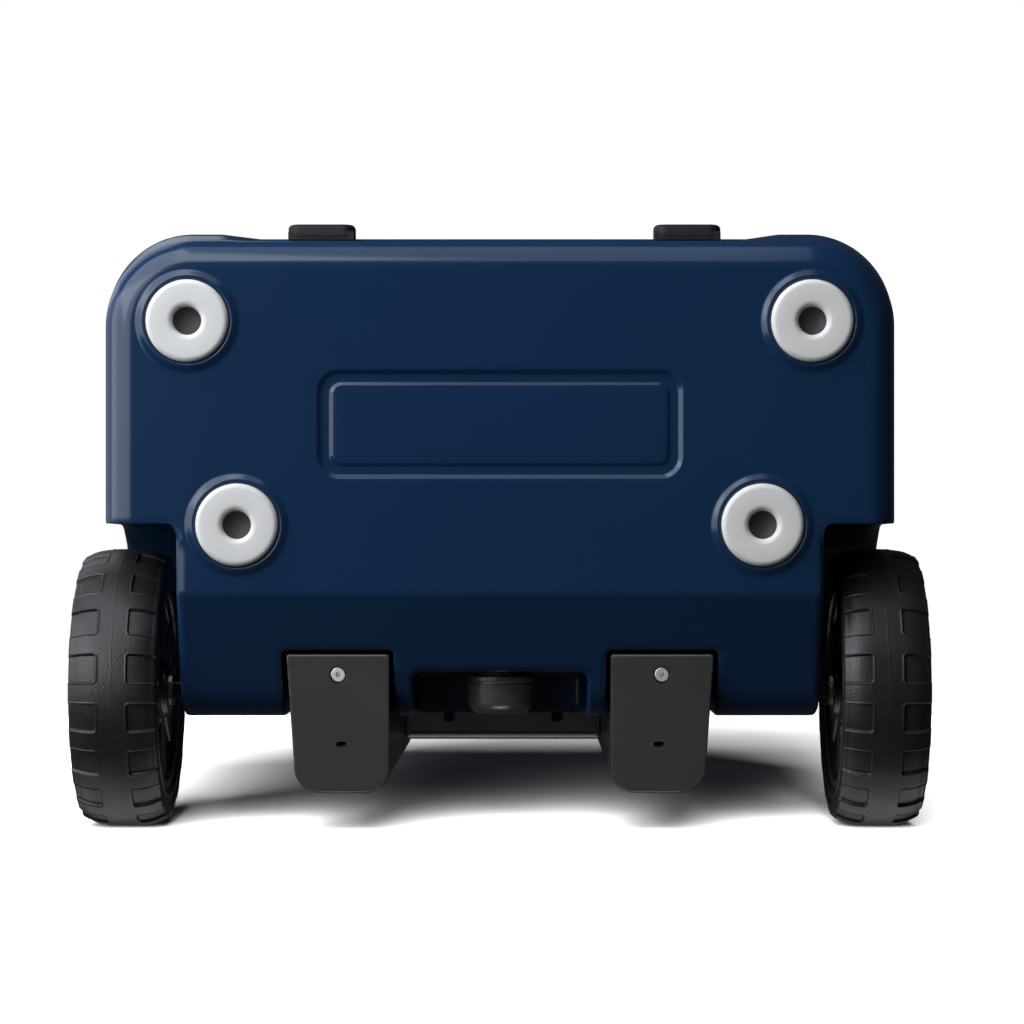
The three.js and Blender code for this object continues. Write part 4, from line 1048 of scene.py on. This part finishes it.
GROUND = bpy.data.collections.new("ground_only")
PHOTO_FLOOR = bpy.data.collections.new("photo_floor_only")
WHEELS = bpy.data.collections.new("wheels_only")
TRIM = bpy.data.collections.new("black_trim_only")
SCREWS = bpy.data.collections.new("plate_screws_only")


def limit_light(obj, state, *collections):
    """Let a light shine on these collections alone, or on everything but them."""
    receivers = bpy.data.collections.new(f"{obj.name}_receivers")
    for collection in collections:
        receivers.children.link(collection)
    for child in receivers.collection_children:
        child.light_linking.link_state = state
    obj.light_linking.receiver_collection = receivers


def add_softbox(name, place, target, width, height, radiance,
                only=None, color=(1, 1, 1), glossy=True):
    """Rectangle of even light, for one collection alone or for everything but the floors.

    A light that isn't glossy shows in no reflection.
    """
    light = bpy.data.lights.new(name, "AREA")
    light.shape = "RECTANGLE"
    light.size, light.size_y = width, height
    light.energy = radiance * math.pi * width * height
    light.color = color
    obj = bpy.data.objects.new(name, light)
    bpy.context.scene.collection.objects.link(obj)
    obj.matrix_world = pointing(place, target)
    obj.visible_camera = False
    obj.visible_glossy = glossy
    if only:
        limit_light(obj, "INCLUDE", only)
    else:
        limit_light(obj, "EXCLUDE", GROUND, PHOTO_FLOOR)


def swung(axis, angle, distance, along, start=0.0):
    """A place at an angle from straight below, out towards -x or -y from start."""
    out = math.sin(math.radians(angle)) * distance - start
    down = math.cos(math.radians(angle)) * distance
    return (-out, along, -down) if axis == "x" else (along, -out, -down)


def add_sun(name, floor, travel, strength, spread):
    """Sunlight on one floor alone, along the direction of travel."""
    light = bpy.data.lights.new(name, "SUN")
    light.energy = strength
    light.angle = math.radians(spread)
    obj = bpy.data.objects.new(name, light)
    bpy.context.scene.collection.objects.link(obj)
    obj.matrix_world = pointing((0, 0, 0), travel)
    limit_light(obj, "INCLUDE", floor)


def one_sided(name):
    """Pale floor that only shows from its front, so that it never hides the object."""
    material = bpy.data.materials.new(name)
    material.use_nodes = True
    tree = material.node_tree
    shader = tree.nodes["Principled BSDF"]
    shader.inputs["Base Color"].default_value = (FLOOR_GRAY, FLOOR_GRAY, FLOOR_GRAY, 1)
    shader.inputs["Roughness"].default_value = 0.85
    shader.inputs["Specular IOR Level"].default_value = 0.15
    clear = tree.nodes.new("ShaderNodeBsdfTransparent")
    mix = tree.nodes.new("ShaderNodeMixShader")
    facing = tree.nodes.new("ShaderNodeNewGeometry")
    tree.links.new(facing.outputs["Backfacing"], mix.inputs["Fac"])
    tree.links.new(shader.outputs["BSDF"], mix.inputs[1])
    tree.links.new(clear.outputs["BSDF"], mix.inputs[2])
    tree.links.new(mix.outputs["Shader"], tree.nodes["Material Output"].inputs["Surface"])
    return material


def add_floor(name, collection, matrix, low, high):
    """Rectangle that takes its own suns' shadows and sends no light back to the object."""
    mesh = bpy.data.meshes.new(name)
    (x0, y0), (x1, y1) = low, high
    mesh.from_pydata([(x0, y0, 0), (x1, y0, 0), (x1, y1, 0), (x0, y1, 0)], [], [(0, 1, 2, 3)])
    floor = bpy.data.objects.new(name, mesh)
    bpy.context.scene.collection.children.link(collection)
    collection.objects.link(floor)
    floor.matrix_world = matrix
    floor.data.materials.append(one_sided(name))
    for ray in ("diffuse", "glossy", "transmission", "shadow", "volume_scatter"):
        setattr(floor, f"visible_{ray}", False)


def add_world(background, ambient):
    """White behind the object for the camera, and a weak even light from all sides."""
    world = bpy.data.worlds.new("studio")
    bpy.context.scene.world = world
    world.use_nodes = True
    tree = world.node_tree
    seen = tree.nodes["Background"]
    seen.inputs["Color"].default_value = (1, 1, 1, 1)
    seen.inputs["Strength"].default_value = background
    even = tree.nodes.new("ShaderNodeBackground")
    even.inputs["Color"].default_value = (0.95, 0.97, 1, 1)
    even.inputs["Strength"].default_value = ambient
    path = tree.nodes.new("ShaderNodeLightPath")
    mix = tree.nodes.new("ShaderNodeMixShader")
    tree.links.new(path.outputs["Is Camera Ray"], mix.inputs["Fac"])
    tree.links.new(even.outputs["Background"], mix.inputs[1])
    tree.links.new(seen.outputs["Background"], mix.inputs[2])
    tree.links.new(mix.outputs["Shader"], tree.nodes["World Output"].inputs["Surface"])


add_camera()
bpy.context.scene.view_settings.view_transform = "Standard"
OWN_LIGHTS = (
    (WHEELS, ("tyre", "wheel_hub", "hub_cap")),
    (TRIM, ("rail_end_plate",)),
    (SCREWS, ("end_plate_screw",)),
)
for collection, parts in OWN_LIGHTS:
    bpy.context.scene.collection.children.link(collection)
    for side_name in ("left", "right"):
        for part_name in parts:
            collection.objects.link(bpy.data.objects[f"{part_name}_{side_name}_skin"])
for part_name in ("handle_bridge", "drain_plug"):
    TRIM.objects.link(bpy.data.objects[f"{part_name}_skin"])

add_world(1.0, 0.03)
upright = Matrix.Translation((0, REAR, 0)) @ Matrix.Rotation(math.radians(90), 4, "X")
add_floor("ground", GROUND, Matrix.Translation((0, 0, -0.0005)), (-14, -14), (14, 14))
add_floor("photo_floor", PHOTO_FLOOR, upright, (-1.2, -1.0), (1.2, 1.3))

# large lights that the navy plastic reflects, from the left and from the front edge
left, top = swung("x", 56, 1.3, -0.39, -0.22), swung("y", 68, 1.2, -0.1)
rim = swung("x", 104, 1.3, -0.2)
add_softbox("left_softbox", left, (-0.22, -0.39, 0), 1.02, 2.34, 2.2, color=SKY)
add_softbox("left_rim", rim, (-0.1, -0.2, 0), 0.9, 1.6, 0.6, color=SKY)
add_softbox("top_softbox", top, (-0.1, 0, 0), 0.8, 1.38, 0.9, color=SKY)

# lights for the black pieces alone
add_softbox("wheel_bounce", (0, 0.8, 0.25), (0, 0.1, 0.1), 1.6, 0.8, 0.9, only=WHEELS)
add_softbox("trim_top", (0, -1.1, -1.1), (0, 0, 0), 1.0, 0.07, 22, only=TRIM)
add_softbox("trim_low", (0, 1.2, -0.9), (0, 0, 0), 1.0, 0.12, 22, only=TRIM)
add_softbox("trim_left", (-1.3, 0.1, -0.4), (0, 0.1, 0), 0.2, 0.4, 6, only=TRIM)
add_softbox("wheel_left", (-0.85, -0.35, -1.2), (-0.2, 0.1, 0.1), 0.6, 0.6, 4, only=WHEELS)

# the key light, and what the rounded front corners reflect
add_softbox("key_softbox", (-1.1, -1.45, -0.47), (0, 0, 0), 1.9, 1.9, 2.3, glossy=False)
add_softbox("corner_softbox", (-0.93, -1.1, -0.75), (0, 0, 0), 1.6, 1.6, 2.6, color=SKY)
add_softbox("corner_rim", (-0.8, -0.8, 0.9), (0, 0, 0), 1.0, 1.0, 0.8, color=SKY)

# fills for the sides that the main camera can't see
add_softbox("overhead", (0, 0, 2.4), (0, 0, 0), 1.2, 1.2, 5, glossy=False)
add_softbox("right_fill", (1.7, -0.6, 1.7), (0, 0, 0.2), 1.6, 1.6, 2.2, glossy=False)
add_softbox("rear_fill", (-0.5, 1.7, 1.7), (0, 0, 0.2), 1.6, 1.6, 1.6, glossy=False)
add_softbox("screw_light", (-0.15, 0.1, -1.7), (0, 0.1, 0), 0.8, 0.8, 0.8, only=SCREWS)

add_sun("photo_floor_sun", PHOTO_FLOOR, (0.6, 1.0, 2.4), 28.7, 35)
add_sun("photo_floor_fill", PHOTO_FLOOR, (0.0, 1.0, 1.2), 11.2, 35)
add_sun("ground_sun", GROUND, (0.1, 0.2, -1.0), 10, 30)
